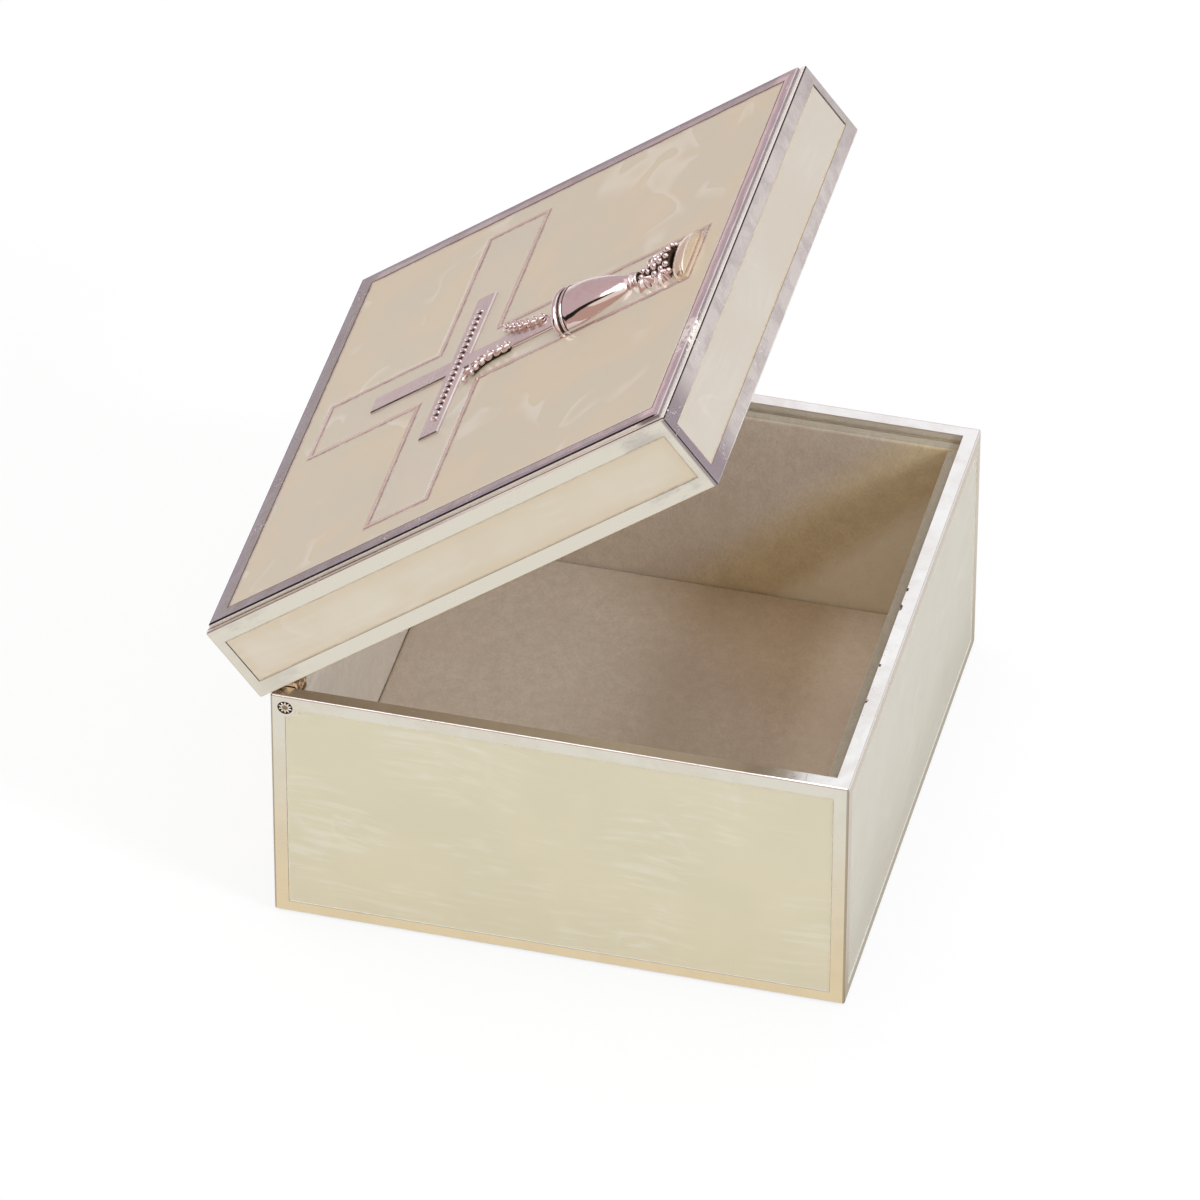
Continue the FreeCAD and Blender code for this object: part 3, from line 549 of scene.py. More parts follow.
def inset(loop, distance):
    """The loop moved to its left by distance, with square corners kept."""
    moved = []
    for index, point in enumerate(loop):
        into = (point - loop[index - 1]).normalized()
        out = (loop[(index + 1) % len(loop)] - point).normalized()
        left_in, left_out = Vector((-into.y, into.x)), Vector((-out.y, out.x))
        moved.append(point + (left_in + left_out) * distance / (1 + left_in.dot(left_out)))
    return moved


def loop_edges(verts):
    return list(zip(verts, verts[1:] + verts[:1]))


def joined(bm, first, second):
    """New faces between two closed rings of vertices."""
    edges = zip(loop_edges(first), loop_edges(second))
    return [bm.faces.new((a, b, d, c)) for (a, b), (c, d) in edges]


def enamel_sheet(loops, thickness, edge_rings, marked=None, marked_rings=0):
    """A sheet within the first loop and outside the others, with its surface at z 0.

    The edge of the loop that is marked has the third material, over its own number of rings."""
    bm = bmesh.new()
    inner_edges, outer_edges = [], []
    for loop in loops:
        rings = []
        for distance in EDGE_STEPS:
            height = EDGE_RISE * math.exp(-distance / EDGE_REACH)
            rings.append([bm.verts.new((*point, height)) for point in inset(loop, distance)])
        rings.insert(0, [bm.verts.new((*point, -thickness)) for point in loop])
        for index, (lower, upper) in enumerate(zip(rings, rings[1:])):
            for edge, face in enumerate(joined(bm, lower, upper)):
                look, reach = (2, marked_rings) if edge == marked else (1, edge_rings)
                face.material_index = look if index < reach else 0
        outer_edges += [bm.edges.get(pair) for pair in loop_edges(rings[0])]
        inner_edges += [bm.edges.get(pair) for pair in loop_edges(rings[-1])]
    for edges in (inner_edges, outer_edges):
        bmesh.ops.triangle_fill(bm, use_beauty=True, use_dissolve=False, edges=edges)
    return bm


def rectangle(low, high):
    """Its corners, counter-clockwise from the lower left."""
    corners = (low.x, low.y), (high.x, low.y), (high.x, high.y), (low.x, high.y)
    return [Vector(corner) for corner in corners]


def notched(loop, centre, radius):
    """The rectangle with an arc cut out of its corner nearest to centre."""
    nearest = min(range(4), key=lambda index: (loop[index] - centre).length)
    corner, before, after = loop[nearest], loop[nearest - 1], loop[(nearest + 1) % 4]
    ends = []
    for other in (before, after):
        along = (other - corner).normalized()
        reach = (centre - corner).dot(along)
        aside = (centre - corner - along * reach).length
        ends.append(corner + along * (reach + math.sqrt(radius ** 2 - aside ** 2)))
    angles = [math.atan2(*reversed(end - centre)) for end in ends]
    sweep = (angles[1] - angles[0] + math.pi) % (2 * math.pi) - math.pi
    turns = [angles[0] + sweep * step / BOSS_STEPS for step in range(BOSS_STEPS + 1)]
    arc = [centre + radius * Vector((math.cos(turn), math.sin(turn))) for turn in turns]
    return loop[:nearest] + arc + loop[nearest + 1:]


# The front panels' enamel is a darker copy of the sides', and on the base also greyer: painted shade for the
# front faces.
CREAM = ((0.715, 0.642, 0.468), (0.695, 0.628, 0.46), (0.8, 0.75, 0.63))
FRONT_SHADED_CREAM = ((0.625, 0.6, 0.53), (0.615, 0.588, 0.513), (0.67, 0.645, 0.585))
PEACH = ((0.725, 0.63, 0.5), (0.7, 0.6, 0.46), (0.74, 0.66, 0.56))
FRONT_SHADED_PEACH = ((0.59, 0.515, 0.44), (0.575, 0.495, 0.415), (0.62, 0.555, 0.49))
PANEL_LOOKS = {
    "base": {"left": CREAM, "right": CREAM, "front": FRONT_SHADED_CREAM, "back": CREAM},
    "lid": {"left": PEACH, "right": PEACH, "front": FRONT_SHADED_PEACH, "back": PEACH},
}
# A panel's marked edge, counter-clockwise from its foot, the rings that the mark takes and its look. On the
# base the mark is a near-white line along the foot, a painted highlight.
FOOT_HIGHLIGHT_MARK = (0, 2, foot_highlight_edge)
LID_MARKS = {"left": (3, 2, dark_edge), "front": (1, 3, dark_edge)}
NO_MARK = (None, 0, side_edge)
FIRST_PANEL_SEED = 22


def side_panel(body, side, seed):
    """The enamel sheet in a side's recess, seen with its length to the right and its height up."""
    node = f"{body}_enamel_{side}"
    place, low, high = body_place(body, node)
    out, up = Vector(SIDES[side]), Vector((0, 0, 1))
    right = up.cross(out)
    centre = (low + high) / 2
    half = Vector((abs(right.dot(high - low)), high.z - low.z)) / 2
    thickness = abs(out.dot(high - low))
    turn = Matrix((right, up, out)).transposed().to_4x4()
    local = Matrix.Translation(centre + out * thickness / 2) @ turn
    loop = rectangle(-half, half)
    if body == "base" and out.x:
        pin = local.inverted() @ Vector((out.x * high.length, hinge.y, hinge.z))
        loop = notched(loop, pin.xy, BOSS_RADIUS)
    gathered = half if body == "lid" and out.x else None
    material = enamel(node, seed, *PANEL_LOOKS[body][side], gathered=gathered)
    edge_look, edge_rings = (base_highlight_edge, BASE_RINGS) if body == "base" else (side_edge, LID_RINGS)
    marked, marked_rings, mark_look = FOOT_HIGHLIGHT_MARK if body == "base" else LID_MARKS.get(side, NO_MARK)
    bm = enamel_sheet([loop], thickness, edge_rings, marked, marked_rings)
    add_piece(f"{node}_sheet", bm, place @ local, body, "enamel", node, material, edge_look, mark_look)


panels = [(body, side) for body, looks in PANEL_LOOKS.items() for side in looks]
for seed, (body, side) in enumerate(panels, FIRST_PANEL_SEED):
    side_panel(body, side, seed)


def plan_box(node):
    low, high = lid_box(node)
    return low - lid_centre, high - lid_centre


def plan_levels(node):
    """The different places of a node's corners across and along the plan."""
    to_plan = plan_to_world.inverted()
    corners = [to_plan @ vertex.co for vertex in nodes[node].data.vertices]
    return [sorted({round(corner[axis], 5) for corner in corners}) for axis in (0, 1)]


def cross_loop(across, along):
    """A cross from its four places across and along, counter-clockwise."""
    left, shaft_left, shaft_right, right = across
    foot, bar_low, bar_high, head = along
    corners = [
        (shaft_left, foot), (shaft_right, foot), (shaft_right, bar_low), (right, bar_low),
        (right, bar_high), (shaft_right, bar_high), (shaft_right, head), (shaft_left, head),
        (shaft_left, bar_high), (left, bar_high), (left, bar_low), (shaft_left, bar_low),
    ]
    return [Vector(corner) for corner in corners]


field_across, field_along = plan_levels("lid_enamel_field")
field_corners = Vector((field_across[0], field_along[0])), Vector((field_across[-1], field_along[-1]))
field_hole = cross_loop(field_across[1:-1], field_along[1:-1])[::-1]
inner_cross = cross_loop(*plan_levels("lid_enamel_cross"))
field_thickness = field_high.z - field_low.z
FIELD_LOOK = ((0.635, 0.525, 0.375), (0.6, 0.525, 0.4), (0.67, 0.6, 0.5))
INNER_LOOK = ((0.62, 0.535, 0.415), (0.595, 0.525, 0.415), (0.66, 0.6, 0.51))
TOP_SWIRLS = 0.28
for node, loops, seed, look in (
    ("lid_enamel_field", [rectangle(*field_corners), field_hole], 11, FIELD_LOOK),
    ("lid_enamel_cross", [inner_cross], 12, INNER_LOOK),
):
    material = enamel(node, seed, *look, streaks=0.0, swirls=TOP_SWIRLS)
    sheet = enamel_sheet(loops, field_thickness, LID_RINGS)
    add_piece(f"{node}_sheet", sheet, plan_to_world, "lid", "enamel", node, material, top_edge)

# Hinge pins: a star of teeth on a dark round head, dished in the middle, on a thinner shank. The head's dark
# is painted shade round the star.
PIN_TEETH = 10
PIN_TIP = 1.27 * MM
PIN_NOTCH = 0.62 * MM
PIN_POINT = 1.1
PIN_RINGS = ((0.0, -0.12), (0.35, -0.1), (0.55, 0.0), (0.9, 0.0), (1.0, -0.06), (1.0, -0.25))
PIN_DISH = 0.5
PIN_STEPS = 8
PIN_HEAD = 0.6 * MM


def add_pin(node, outward):
    """A pin that faces outward along X, in rings from the middle of its head to its inner end."""
    low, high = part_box(node)
    bm = bmesh.new()
    rings = []
    turns = [2 * math.pi * step / (PIN_TEETH * PIN_STEPS) for step in range(PIN_TEETH * PIN_STEPS)]
    for share, depth in PIN_RINGS:
        ring = []
        for turn in turns:
            tooth = abs((turn * PIN_TEETH / (2 * math.pi)) % 1 * 2 - 1)
            edge = PIN_NOTCH + (PIN_TIP - PIN_NOTCH) * tooth ** PIN_POINT
            reach = share * (edge if share > PIN_DISH else PIN_NOTCH)
            ring.append(bm.verts.new((reach * math.cos(turn), reach * math.sin(turn), depth * MM)))
        rings.append(ring)
    head = (high.z - low.z) / 2
    below = -PIN_RINGS[-1][1] * MM
    for radius, depth in (head, below), (head, PIN_HEAD), (PIN_NOTCH, PIN_HEAD), (PIN_NOTCH, high.x - low.x):
        points = [(radius * math.cos(turn), radius * math.sin(turn), -depth) for turn in turns]
        rings.append([bm.verts.new(point) for point in points])
    for index, (first, second) in enumerate(zip(rings, rings[1:])):
        for face in joined(bm, first, second):
            face.material_index = int(index >= len(PIN_RINGS) - 2)
    bm.faces.new(rings[-1])
    bmesh.ops.remove_doubles(bm, verts=rings[0], dist=MERGE_DISTANCE)
    face = Vector((high.x if outward > 0 else low.x, hinge.y, hinge.z))
    place = Matrix.Translation(face) @ Matrix.Rotation(math.radians(90 * outward), 4, "Y")
    add_piece(f"{node}_head", bm, place, "base", "pin_steel", node, steel, patina_and_shade_metal)


add_pin("hinge_pin_left", -1)
add_pin("hinge_pin_right", 1)

# Felt boards with soft edges and a slightly uneven face.
FELT_ROUND = 0.8 * MM
ROUND_SHARE = 0.45
ROUND_STEPS = 4
FELT_STEP = 4 * MM
FELT_WAVE = 0.06 * MM
FELT_WAVE_LENGTH = 12 * MM
FELT_EDGE_UP = 0.6


def felt_board(node, body, look, edge_look=None):
    """A board covered with felt, which may have a darker felt along its upper edge as painted shade."""
    place, low, high = body_place(body, node)
    bm = bmesh.new()
    bmesh.ops.create_cube(bm, size=1)
    half = (high - low) / 2
    bmesh.ops.scale(bm, vec=high - low, verts=bm.verts)
    bevel = min(FELT_ROUND, ROUND_SHARE * min(high - low))
    bmesh.ops.bevel(bm, geom=bm.edges[:], offset=bevel, segments=ROUND_STEPS, profile=0.5, affect="EDGES")
    for axis in range(3):
        across = Vector([float(index == axis) for index in range(3)])
        count = int(2 * half[axis] / FELT_STEP)
        for cut in range(1, count):
            middle = across * (2 * cut / count - 1) * half[axis]
            everything = bm.verts[:] + bm.edges[:] + bm.faces[:]
            bmesh.ops.bisect_plane(bm, geom=everything, plane_co=middle, plane_no=across)
    thin = min(range(3), key=lambda axis: half[axis])
    for vert in bm.verts:
        inner = all(abs(vert.co[axis]) < half[axis] - 2 * FELT_ROUND for axis in range(3) if axis != thin)
        if inner:
            sink = FELT_WAVE * abs(noise.noise(vert.co / FELT_WAVE_LENGTH))
            vert.co[thin] -= math.copysign(sink, vert.co[thin])
    bmesh.ops.recalc_face_normals(bm, faces=bm.faces)
    for face in bm.faces:
        face.material_index = int(edge_look is not None and face.normal.z > FELT_EDGE_UP)
    centre = Matrix.Translation((low + high) / 2)
    looks = [look] if edge_look is None else [look, edge_look]
    return add_piece(f"{node}_cover", bm, place @ centre, body, "felt", node, *looks)


# Painted light and shade in the felt: it is yellower, then paler, towards the right board's low front and
# the floor's right front.
RIGHT_PAINTED_LIGHT = (
    ((0, 1, 1), (-8 * MM, -21 * MM), (0.83, 0.68, 0.44), (0.68, 0.535, 0.33)),
    ((0, 1, 1), (-28 * MM, -36 * MM), (0.96, 0.87, 0.69), (0.91, 0.8, 0.59)),
)
FLOOR_PAINTED_LIGHT = (
    ((1, -1, 0), (18 * MM, 55 * MM), (0.7, 0.545, 0.38), (0.57, 0.43, 0.285)),
    ((0, 1, 0), (-21 * MM, -34 * MM), (0.93, 0.81, 0.675), (0.82, 0.68, 0.54)),
)
right_painted_felt = felt("right_painted_felt", *LINING, RIGHT_PAINTED_LIGHT)
floor_painted_felt = felt("floor_painted_felt", *LINING, FLOOR_PAINTED_LIGHT)
LINING_LOOKS = {
    "left": (lining_felt, shaded_top_felt), "right": (right_painted_felt, shaded_top_felt), "front": (lining_felt, shaded_top_felt),
    "back": (back_lit_felt,), "floor": (floor_painted_felt,),
}
for board, looks in LINING_LOOKS.items():
    felt_board(f"lining_{board}", "base", *looks)
under_felt = felt_board("base_bottom_felt", "base", lining_felt)
for board in ("top", "left", "right", "front", "back"):
    felt_board(f"lid_lining_{board}", "lid", lid_shaded_felt)

# Relief on the lid's top, in its plan.
SINK = 0.1 * MM


def add_relief(node, bm, *looks):
    add_piece(f"{node}_relief", bm, plan_to_world, "lid", "plated_metal", node, *looks)


def add_bead(bm, centre, radii, turn=0.0):
    """An ellipsoid turned in the lid's plane."""
    made = bmesh.ops.create_icosphere(bm, subdivisions=3, radius=1)
    place = Matrix.Translation(centre) @ Matrix.Rotation(turn, 4, "Z") @ Matrix.Diagonal((*radii, 1))
    bmesh.ops.transform(bm, matrix=place, verts=made["verts"])


def smooth_line(points, steps):
    """A curve through the points, a few steps between each two."""
    line = []
    ends = [points[0] * 2 - points[1], *points, points[-1] * 2 - points[-2]]
    for before, start, end, after in zip(ends, ends[1:], ends[2:], ends[3:]):
        for step in range(steps):
            share = step / steps
            ahead, behind = (end - before) / 2, (after - start) / 2
            line.append(
                start * (2 * share ** 3 - 3 * share ** 2 + 1) + ahead * (share ** 3 - 2 * share ** 2 + share)
                + end * (3 * share ** 2 - 2 * share ** 3) + behind * (share ** 3 - share ** 2)
            )
    return line + [points[-1]]


def half_turned(profile, mouth, flatness, around=40, steps=5, dark_bands=()):
    """Half of a turned shape lying on the enamel, its profile given as lengths below the mouth and radii.

    Each dark band gives the lengths between which the second material shows."""
    bm = bmesh.new()
    line = smooth_line([Vector(point) * MM for point in profile], steps)
    rings = []
    for along, radius in line:
        ring = []
        for step in range(around + 1):
            turn = math.pi * step / around
            lift = max(radius * math.sin(turn) * flatness, 0)
            ring.append(bm.verts.new((radius * math.cos(turn), mouth - along, lift - SINK)))
        rings.append(ring)
    for (along, radius), first, second in zip(line, rings, rings[1:]):
        dark = any(start <= along / MM <= end for start, end in dark_bands)
        for step in range(around):
            face = bm.faces.new((first[step], first[step + 1], second[step + 1], second[step]))
            face.material_index = int(dark)
    edge = [item for item in bm.edges if item.is_boundary]
    bmesh.ops.holes_fill(bm, edges=edge, sides=0)
    return bm


CUP_PROFILE = (
    (1.0, 0.3), (1.0, 5.0), (0.15, 5.7), (0.0, 6.1), (0.3, 6.35), (0.75, 6.25), (1.05, 5.9), (1.3, 5.75),
    (1.55, 5.95), (1.9, 6.1), (2.3, 5.85), (3.2, 5.85), (5.0, 5.75), (7.0, 5.3), (9.0, 4.6), (11.0, 3.75),
    (12.6, 2.95), (13.6, 2.2), (14.2, 1.4),
)
# The first dark band is a painted dark outline at the cup's mouth; the others are patina in its grooves.
CUP_DARK_BANDS = ((-0.3, 0.08), (0.95, 1.35), (2.1, 2.3))
STEM_PROFILE = ((0.0, 1.15), (0.3, 1.75), (0.7, 1.9), (1.05, 1.4), (1.25, 1.35), (1.6, 1.7), (1.9, 1.5))
STEM_FLATNESS = 0.95
STEM_STEPS = 24
FOOT_PROFILE = (
    (0.0, 0.3), (0.0, 3.4), (0.3, 4.6), (0.75, 5.5), (1.3, 6.1), (2.0, 6.3), (2.7, 6.1), (3.1, 5.5),
    (3.2, 0.3),
)

cup_low, cup_high = plan_box("chalice_cup")
cup_flatness = cup_high.z / (cup_high.x - cup_low.x) * 2
cup = half_turned(CUP_PROFILE, cup_high.y, cup_flatness, dark_bands=CUP_DARK_BANDS)
add_relief("chalice_cup", cup, relief_metal, patina_and_shade_metal)

stem_top = plan_box("chalice_stem")[1].y
stem = half_turned(STEM_PROFILE, stem_top, STEM_FLATNESS, around=STEM_STEPS)
add_relief("chalice_stem", stem, relief_metal)

foot_low, foot_high = plan_box("chalice_foot")
foot = half_turned(FOOT_PROFILE, foot_high.y, foot_high.z / (foot_high.x - foot_low.x) * 2)
add_relief("chalice_foot", foot, foot_metal)

# A bunch of grapes with leaves under the cup. A leaf's heights are shares of its reach.
GRAPE_RADIUS = 0.68 * MM
GRAPE_SIZES = (0.65, 1.0)
GRAPE_PITCH = 2.4
GRAPE_STRAY = 0.2
GRAPE_ROWS = 5
FIRST_ROW = 0.6
FIRST_GRAPE = 0.25
BUNCH_TOP = 1.0
BUNCH_SPREAD = 3.0
BUNCH_CORE = ((0.0, 0.2), (0.0, 0.9), (2.0, 1.5), (4.5, 2.4), (7.0, 3.1), (8.0, 3.1), (8.0, 0.2))
LEAF_LOBES = 5
LEAF_WAVE = 0.24
LEAF_RIB = 0.12
LEAF_DOME = 0.55
LEAF_EDGE = 0.18
LEAF_RINGS = 4
LEAF_STEPS = 40
LEAVES = ((-3.0, -32.2, 2.0, 2.6), (-3.7, -36.2, 2.1, 3.0), (3.0, -32.4, 1.9, 0.5))


def add_leaf(bm, centre, reach, turn):
    """A lobed leaf, domed, with ribs along its lobes."""
    rings = []
    for ring in range(LEAF_RINGS + 1):
        share = ring / LEAF_RINGS
        verts = []
        for step in range(LEAF_STEPS):
            angle = 2 * math.pi * step / LEAF_STEPS
            lobe = 1 - LEAF_WAVE + LEAF_WAVE * math.cos(LEAF_LOBES * angle)
            rib = LEAF_RIB * math.cos(LEAF_LOBES * angle) * share
            height = reach * (LEAF_DOME * (1 - share ** 2) + rib + LEAF_EDGE)
            lift = height if ring < LEAF_RINGS else -SINK
            out = reach * lobe * share
            heading = angle + turn
            offset = Vector((out * math.cos(heading), out * math.sin(heading), lift))
            verts.append(bm.verts.new(centre + offset))
        rings.append(verts)
    for inner, outer in zip(rings, rings[1:]):
        joined(bm, inner, outer)
    bm.faces.new(rings[-1])
    bmesh.ops.remove_doubles(bm, verts=rings[0], dist=MERGE_DISTANCE)


cluster_low, cluster_high = plan_box("chalice_cluster")
cluster_length = cluster_high.y - cluster_low.y
cluster_radius = cluster_high.x
cluster_flatness = cluster_high.z / cluster_radius
cluster = half_turned(BUNCH_CORE, cluster_high.y, cluster_flatness)
for face in cluster.faces:
    face.material_index = 1
for row in range(GRAPE_ROWS):
    share = (row + FIRST_ROW) / GRAPE_ROWS
    radius = (BUNCH_TOP + BUNCH_SPREAD * share) * MM
    count = max(3, round(math.pi * radius / (GRAPE_PITCH * GRAPE_RADIUS)))
    for grape in range(count):
        turn = math.pi * (grape + 0.5 * (row % 2) + FIRST_GRAPE) / count
        size = GRAPE_RADIUS * random.uniform(*GRAPE_SIZES)
        down = cluster_high.y - share * cluster_length + random.uniform(-GRAPE_STRAY, GRAPE_STRAY) * MM
        middle = (radius * math.cos(turn), down, max(radius * math.sin(turn) * cluster_flatness, 0))
        add_bead(cluster, middle, (size,) * 3)
for across, along, reach, turn in LEAVES:
    add_leaf(cluster, Vector((across * MM, along * MM, 0)), reach * MM, turn)
add_relief("chalice_cluster", cluster, relief_metal, patina_and_shade_metal)

# Two ears of wheat: a stalk with a bud, then grains in two rows.
EARS = {
    "left": {
        "stalk": ((-1.7, -13.9), (-2.1, -10.0), (-2.15, -6.5), (-2.2, -2.2)),
        "ear": ((-2.2, -2.2), (-2.3, 0.6), (-2.9, 3.4), (-4.6, 5.4), (-7.0, 6.2)),
    },
    "right": {
        "stalk": ((0.9, -13.9), (1.3, -11.0), (1.6, -8.6)),
        "ear": ((1.6, -8.6), (2.0, -5.6), (2.7, -3.0), (3.7, -0.9), (5.0, 0.9)),
    },
}
EAR_PAIRS = 6
EAR_ENDS = (0.4, 0.2)
EAR_STEPS = 12
EAR_LIFT = 0.75 * MM
TIP_GRAIN = 0.9
GRAIN_RADII = Vector((1.05, 0.42, 0.58)) * MM
GRAIN_SPREAD = 0.68 * MM
EAR_BACK = Vector((1.05, 0.5)) * MM
GRAIN_LEAN = 0.6
EAR_BARE_TIP = 12
STALK_RADIUS = 0.38 * MM
STALK_STEPS = 6


def add_stalk(bm, line, half_width, height, look=0, base=0.0, around=12):
    """A half-sunk stalk along a line of the plan, on a surface at base."""
    rings = []
    for index, point in enumerate(line):
        along = (line[min(index + 1, len(line) - 1)] - line[max(index - 1, 0)]).normalized()
        aside = Vector((-along.y, along.x))
        turns = [2 * math.pi * step / around for step in range(around)]
        offsets = [(aside * math.cos(turn) * half_width, math.sin(turn) * height) for turn in turns]
        rings.append([bm.verts.new((*(point + side), base + 0.5 * height + lift)) for side, lift in offsets])
    sides = [bm.faces.new(rings[0][::-1]), bm.faces.new(rings[-1])]
    for first, second in zip(rings, rings[1:]):
        sides += joined(bm, first, second)
    for face in sides:
        face.material_index = look


for side, shape in EARS.items():
    ear = bmesh.new()
    stalk_line = smooth_line([Vector(point) * MM for point in shape["stalk"]], STALK_STEPS)
    ear_line = smooth_line([Vector(point) * MM for point in shape["ear"]], EAR_STEPS)
    add_stalk(ear, stalk_line, STALK_RADIUS, STALK_RADIUS)
    add_stalk(ear, ear_line[:-EAR_BARE_TIP], *EAR_BACK, look=1)
    for pair in range(EAR_PAIRS):
        spot = int((pair + EAR_ENDS[0]) / (EAR_PAIRS + sum(EAR_ENDS)) * (len(ear_line) - 2))
        along = (ear_line[spot + 1] - ear_line[spot]).normalized()
        aside = Vector((-along.y, along.x))
        heading = math.atan2(along.y, along.x)
        for way in (1, -1):
            middle = ear_line[spot] + aside * way * GRAIN_SPREAD
            add_bead(ear, (*middle, EAR_LIFT), GRAIN_RADII, heading + way * GRAIN_LEAN)
    tip_heading = math.atan2(*reversed(ear_line[-1] - ear_line[-4]))
    add_bead(ear, (*ear_line[-2], EAR_LIFT), GRAIN_RADII * TIP_GRAIN, tip_heading)
    add_relief(f"wheat_ear_{side}", ear, relief_metal, patina_and_shade_metal)

# A rope moulding along the crossbar: slanting beads on a core, as shares of its pitch and size.
ROPE_STRANDS = 20
ROPE_SLANT = 0.45
BEAD_LENGTH = 0.34
BEAD_WIDTH = 0.98
CORE_WIDTH = 0.55
CORE_HEIGHT = 0.3

rope_low, rope_high = plan_box("crossbar_moulding")
rope = bmesh.new()
rope_pitch = (rope_high.x - rope_low.x) / ROPE_STRANDS
rope_middle = (rope_low.y + rope_high.y) / 2
rope_half = (rope_high.y - rope_low.y) / 2
rope_rise = rope_high.z - rope_low.z
for strand in range(ROPE_STRANDS):
    across = rope_low.x + (strand + 0.5) * rope_pitch
    radii = (rope_pitch * BEAD_LENGTH, rope_half * BEAD_WIDTH, rope_rise)
    add_bead(rope, (across, rope_middle, rope_low.z), radii, -ROPE_SLANT)
rope_ends = (rope_low.x + rope_pitch / 2, rope_high.x - rope_pitch / 2)
rope_line = [Vector((across, rope_middle)) for across in rope_ends]
add_stalk(rope, rope_line, rope_half * CORE_WIDTH, rope_rise * CORE_HEIGHT, look=1, base=rope_low.z)
add_relief("crossbar_moulding", rope, relief_metal, patina_and_shade_metal)


# Stage: floor, cards that only reflections see, lamps, world and camera.
FLOOR_SIZE = 3.0
FLOOR_DROP = 0.1 * MM
FLOOR_GLOW = 0.82
FLOOR_GREYS = ((0.92, 0.92, 0.92), (0.94, 0.94, 0.94))
CARD_STEPS = 24
CARD_DISTANCE = 0.8
CARD_CENTRE = 0.07
# Upright cards: colour, first and last angle from +X, lowest and highest above the horizon, in degrees.
CARDS = {
    "grey_card": ((0.68, 0.63, 0.62), -80, -5, -8, 33),
    "lilac_card": ((0.6, 0.49, 0.5), -5, 24, -8, 33),
    "back_card": ((0.6, 0.49, 0.5), 24, 106, -8, 62),
    "dark_flag": ((0.02, 0.018, 0.016), 106, 124, 2, 62),
    "rose_card": ((0.53, 0.37, 0.31), 124, 262, 0, 42),
    "upper_card": ((0.9, 0.83, 0.7), 124, 262, 42, 58),
}
# Floor cards that only reflections see, painted light and shade: a warm glow beside the left face and a
# shadow in front of the box. Their colours near the box and far from it, corners, and the axis and span
# between them.
FLOOR_CARDS = {
    "warm_glow_card": (
        (0.77, 0.635, 0.42), (0.755, 0.735, 0.65), (-0.6, -0.4), (-0.0502, 0.5), "X", (-0.0505, -0.11),
    ),
    "front_shadow_card": (
        (0.46, 0.41, 0.33), (0.66, 0.6, 0.53), (-0.0502, -0.12), (0.16, -0.0501), "Y", (-0.0501, -0.057),
    ),
}
# Lamps: position, the point that they face, width, watts and colour.
LAMPS = {
    "key": ((-0.36, -0.88, 0.69), (0, 0, 0.04), 0.2, 4.7, (0.85, 0.95, 1)),
    "overhead": ((0.1, 0.45, 1.2), (0, 0, 0.05), 0.8, 4.3, (1, 1, 1)),
    "front_top": ((0, -0.3, 1.2), (0, -0.03, 0), 0.4, 0.9, (1, 1, 1)),
}
ROOM_LIGHT = 0.68
# The camera: sensor and lens in millimetres, its place, and its axes to the right, up and back.
SENSOR_WIDTH = 36
LENS = 320.6
CLIP = (0.1, 20)
CAMERA_PLACE = (-1.3746, -0.3417, 1.197)
CAMERA_AXES = ((0.24664, -0.96911, 0.00225), (0.61297, 0.1578, 0.77419), (-0.75063, -0.18956, 0.63295))


def stage_object(name, bm, material):
    made = mesh_object(name, bm, material)
    return made


def add_floor():
    """A pale floor that the camera sees as near white, with a soft shadow."""
    graph = Graph("floor")
    grain = graph.noise(0.4, 2.0)
    graph.set(Base_Color=graph.mix(grain, *FLOOR_GREYS), Roughness=0.9)
    seen = graph.node("ShaderNodeLightPath").outputs["Is Camera Ray"]
    share = graph.all(seen, FLOOR_GLOW)
    surfaces = {0: share, 1: graph.shader.outputs["BSDF"], 2: graph.glow((1, 1, 1, 1))}
    graph.show(graph.node("ShaderNodeMixShader", surfaces).outputs["Shader"])
    bm = bmesh.new()
    bmesh.ops.create_grid(bm, x_segments=1, y_segments=1, size=FLOOR_SIZE / 2)
    bmesh.ops.translate(bm, vec=(0, 0, -FLOOR_DROP), verts=bm.verts)
    stage_object("floor", bm, graph.owner)


def reflected_only(name, bm, near, far, axis, span):
    """A glowing card that only reflections show, from one colour to another along an axis."""
    graph = Graph(name)
    share = graph.step(graph.part(graph.place, axis), *span)
    graph.show(graph.glow(graph.mix(share, near, far)))
    card = stage_object(name, bm, graph.owner)
    for ray in ("camera", "diffuse", "shadow", "transmission"):
        setattr(card, f"visible_{ray}", False)


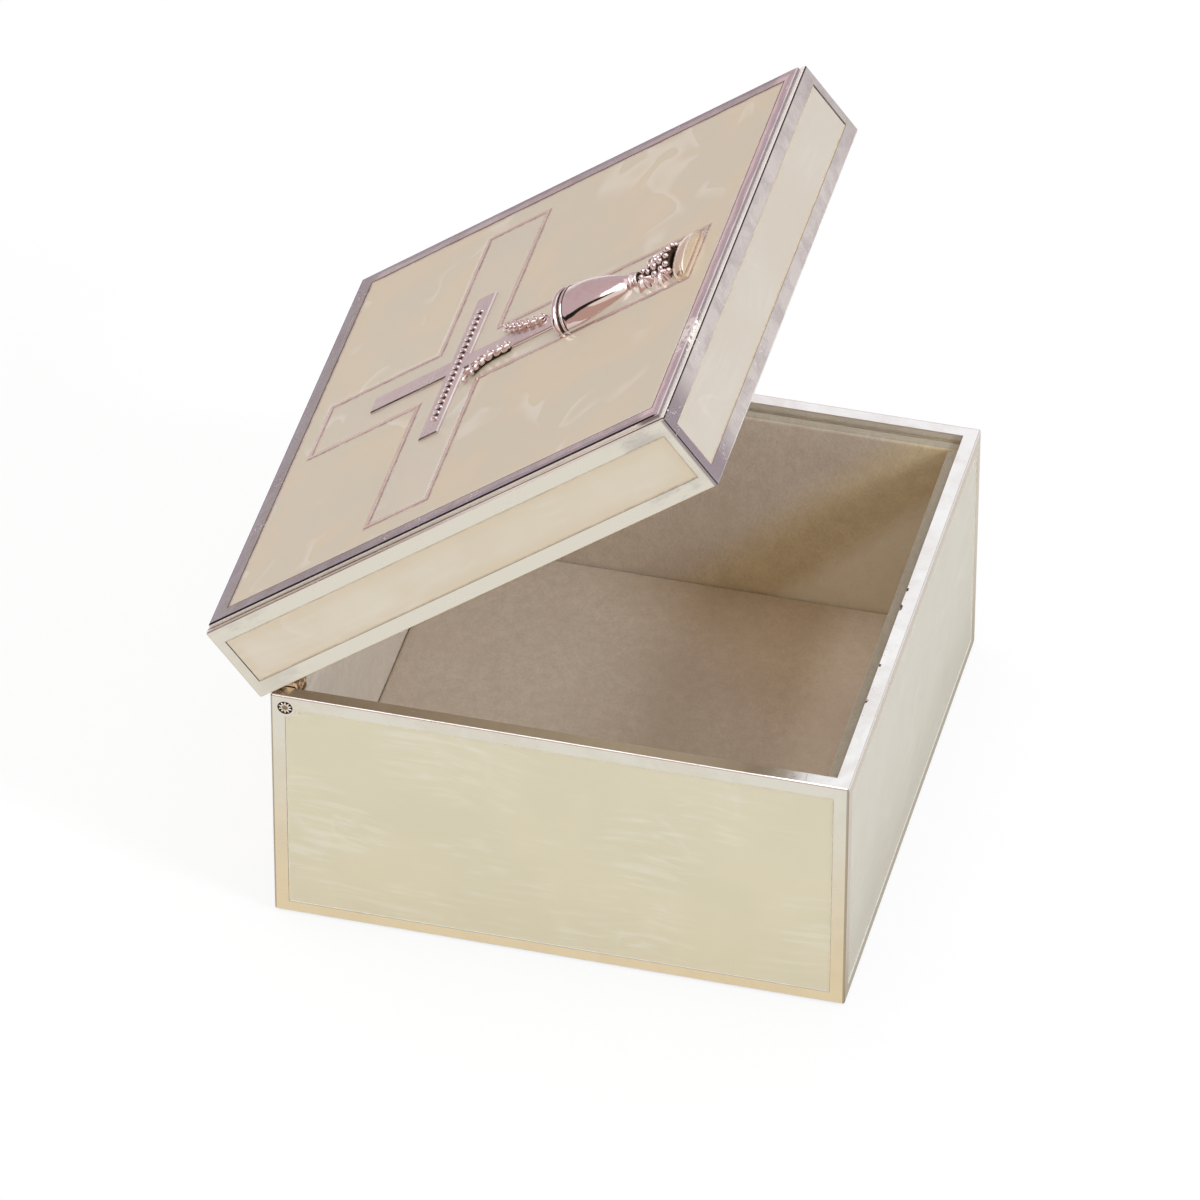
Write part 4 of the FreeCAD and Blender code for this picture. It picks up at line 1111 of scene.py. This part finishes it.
def add_card(name, colour, first, last, low, high):
    """An upright card, curved about the box."""
    bm = bmesh.new()
    levels = [CARD_CENTRE + CARD_DISTANCE * math.tan(math.radians(angle)) for angle in (low, high)]
    columns = []
    for step in range(CARD_STEPS + 1):
        angle = math.radians(first + (last - first) * step / CARD_STEPS)
        foot = Vector((math.cos(angle), math.sin(angle), 0)) * CARD_DISTANCE
        columns.append([bm.verts.new(foot + Vector((0, 0, level))) for level in levels])
    for left, right in zip(columns, columns[1:]):
        bm.faces.new((left[0], left[1], right[1], right[0]))
    reflected_only(name, bm, colour, colour, "X", (-1, 1))


def add_floor_card(name, near, far, low, high, axis, span):
    """A card lying on the floor beside the box."""
    bm = bmesh.new()
    corners = rectangle(Vector(low), Vector(high))
    bm.faces.new([bm.verts.new((*corner, -FLOOR_DROP / 2)) for corner in corners])
    reflected_only(name, bm, near, far, axis, span)


def add_lamp(name, position, target, size, power, colour):
    data = bpy.data.lights.new(name, "AREA")
    data.color = colour
    data.size = size
    data.energy = power
    lamp = scene_object(name, data)
    lamp.location = position
    lamp.rotation_euler = (Vector(target) - Vector(position)).to_track_quat("-Z", "Y").to_euler()


def make_world():
    """White to the camera and in reflections, and an even light for the rest."""
    graph = Graph("studio", bpy.data.worlds, "Background")
    bpy.context.scene.world = graph.owner
    rays = graph.node("ShaderNodeLightPath").outputs
    seen = rays["Is Camera Ray"]
    for ray in ("Is Glossy Ray", "Is Transmission Ray"):
        seen = graph.math("MAXIMUM", seen, rays[ray])
    graph.set(Color=(1, 1, 1, 1), Strength=graph.step(seen, 0, 1, ROOM_LIGHT, 1.0))


def add_camera():
    """The camera that fits the photograph's corners."""
    data = bpy.data.cameras.new("camera")
    data.sensor_width = SENSOR_WIDTH
    data.lens = LENS
    data.clip_start, data.clip_end = CLIP
    camera = scene_object("camera", data)
    turn = Matrix(CAMERA_AXES).transposed().to_4x4()
    camera.matrix_world = Matrix.Translation(CAMERA_PLACE) @ turn
    bpy.context.scene.camera = camera


add_floor()
for name, card in CARDS.items():
    add_card(name, *card)
for name, card in FLOOR_CARDS.items():
    add_floor_card(name, *card)
for name, lamp in LAMPS.items():
    add_lamp(name, *lamp)
make_world()
add_camera()
bpy.context.scene.view_settings.view_transform = "Standard"
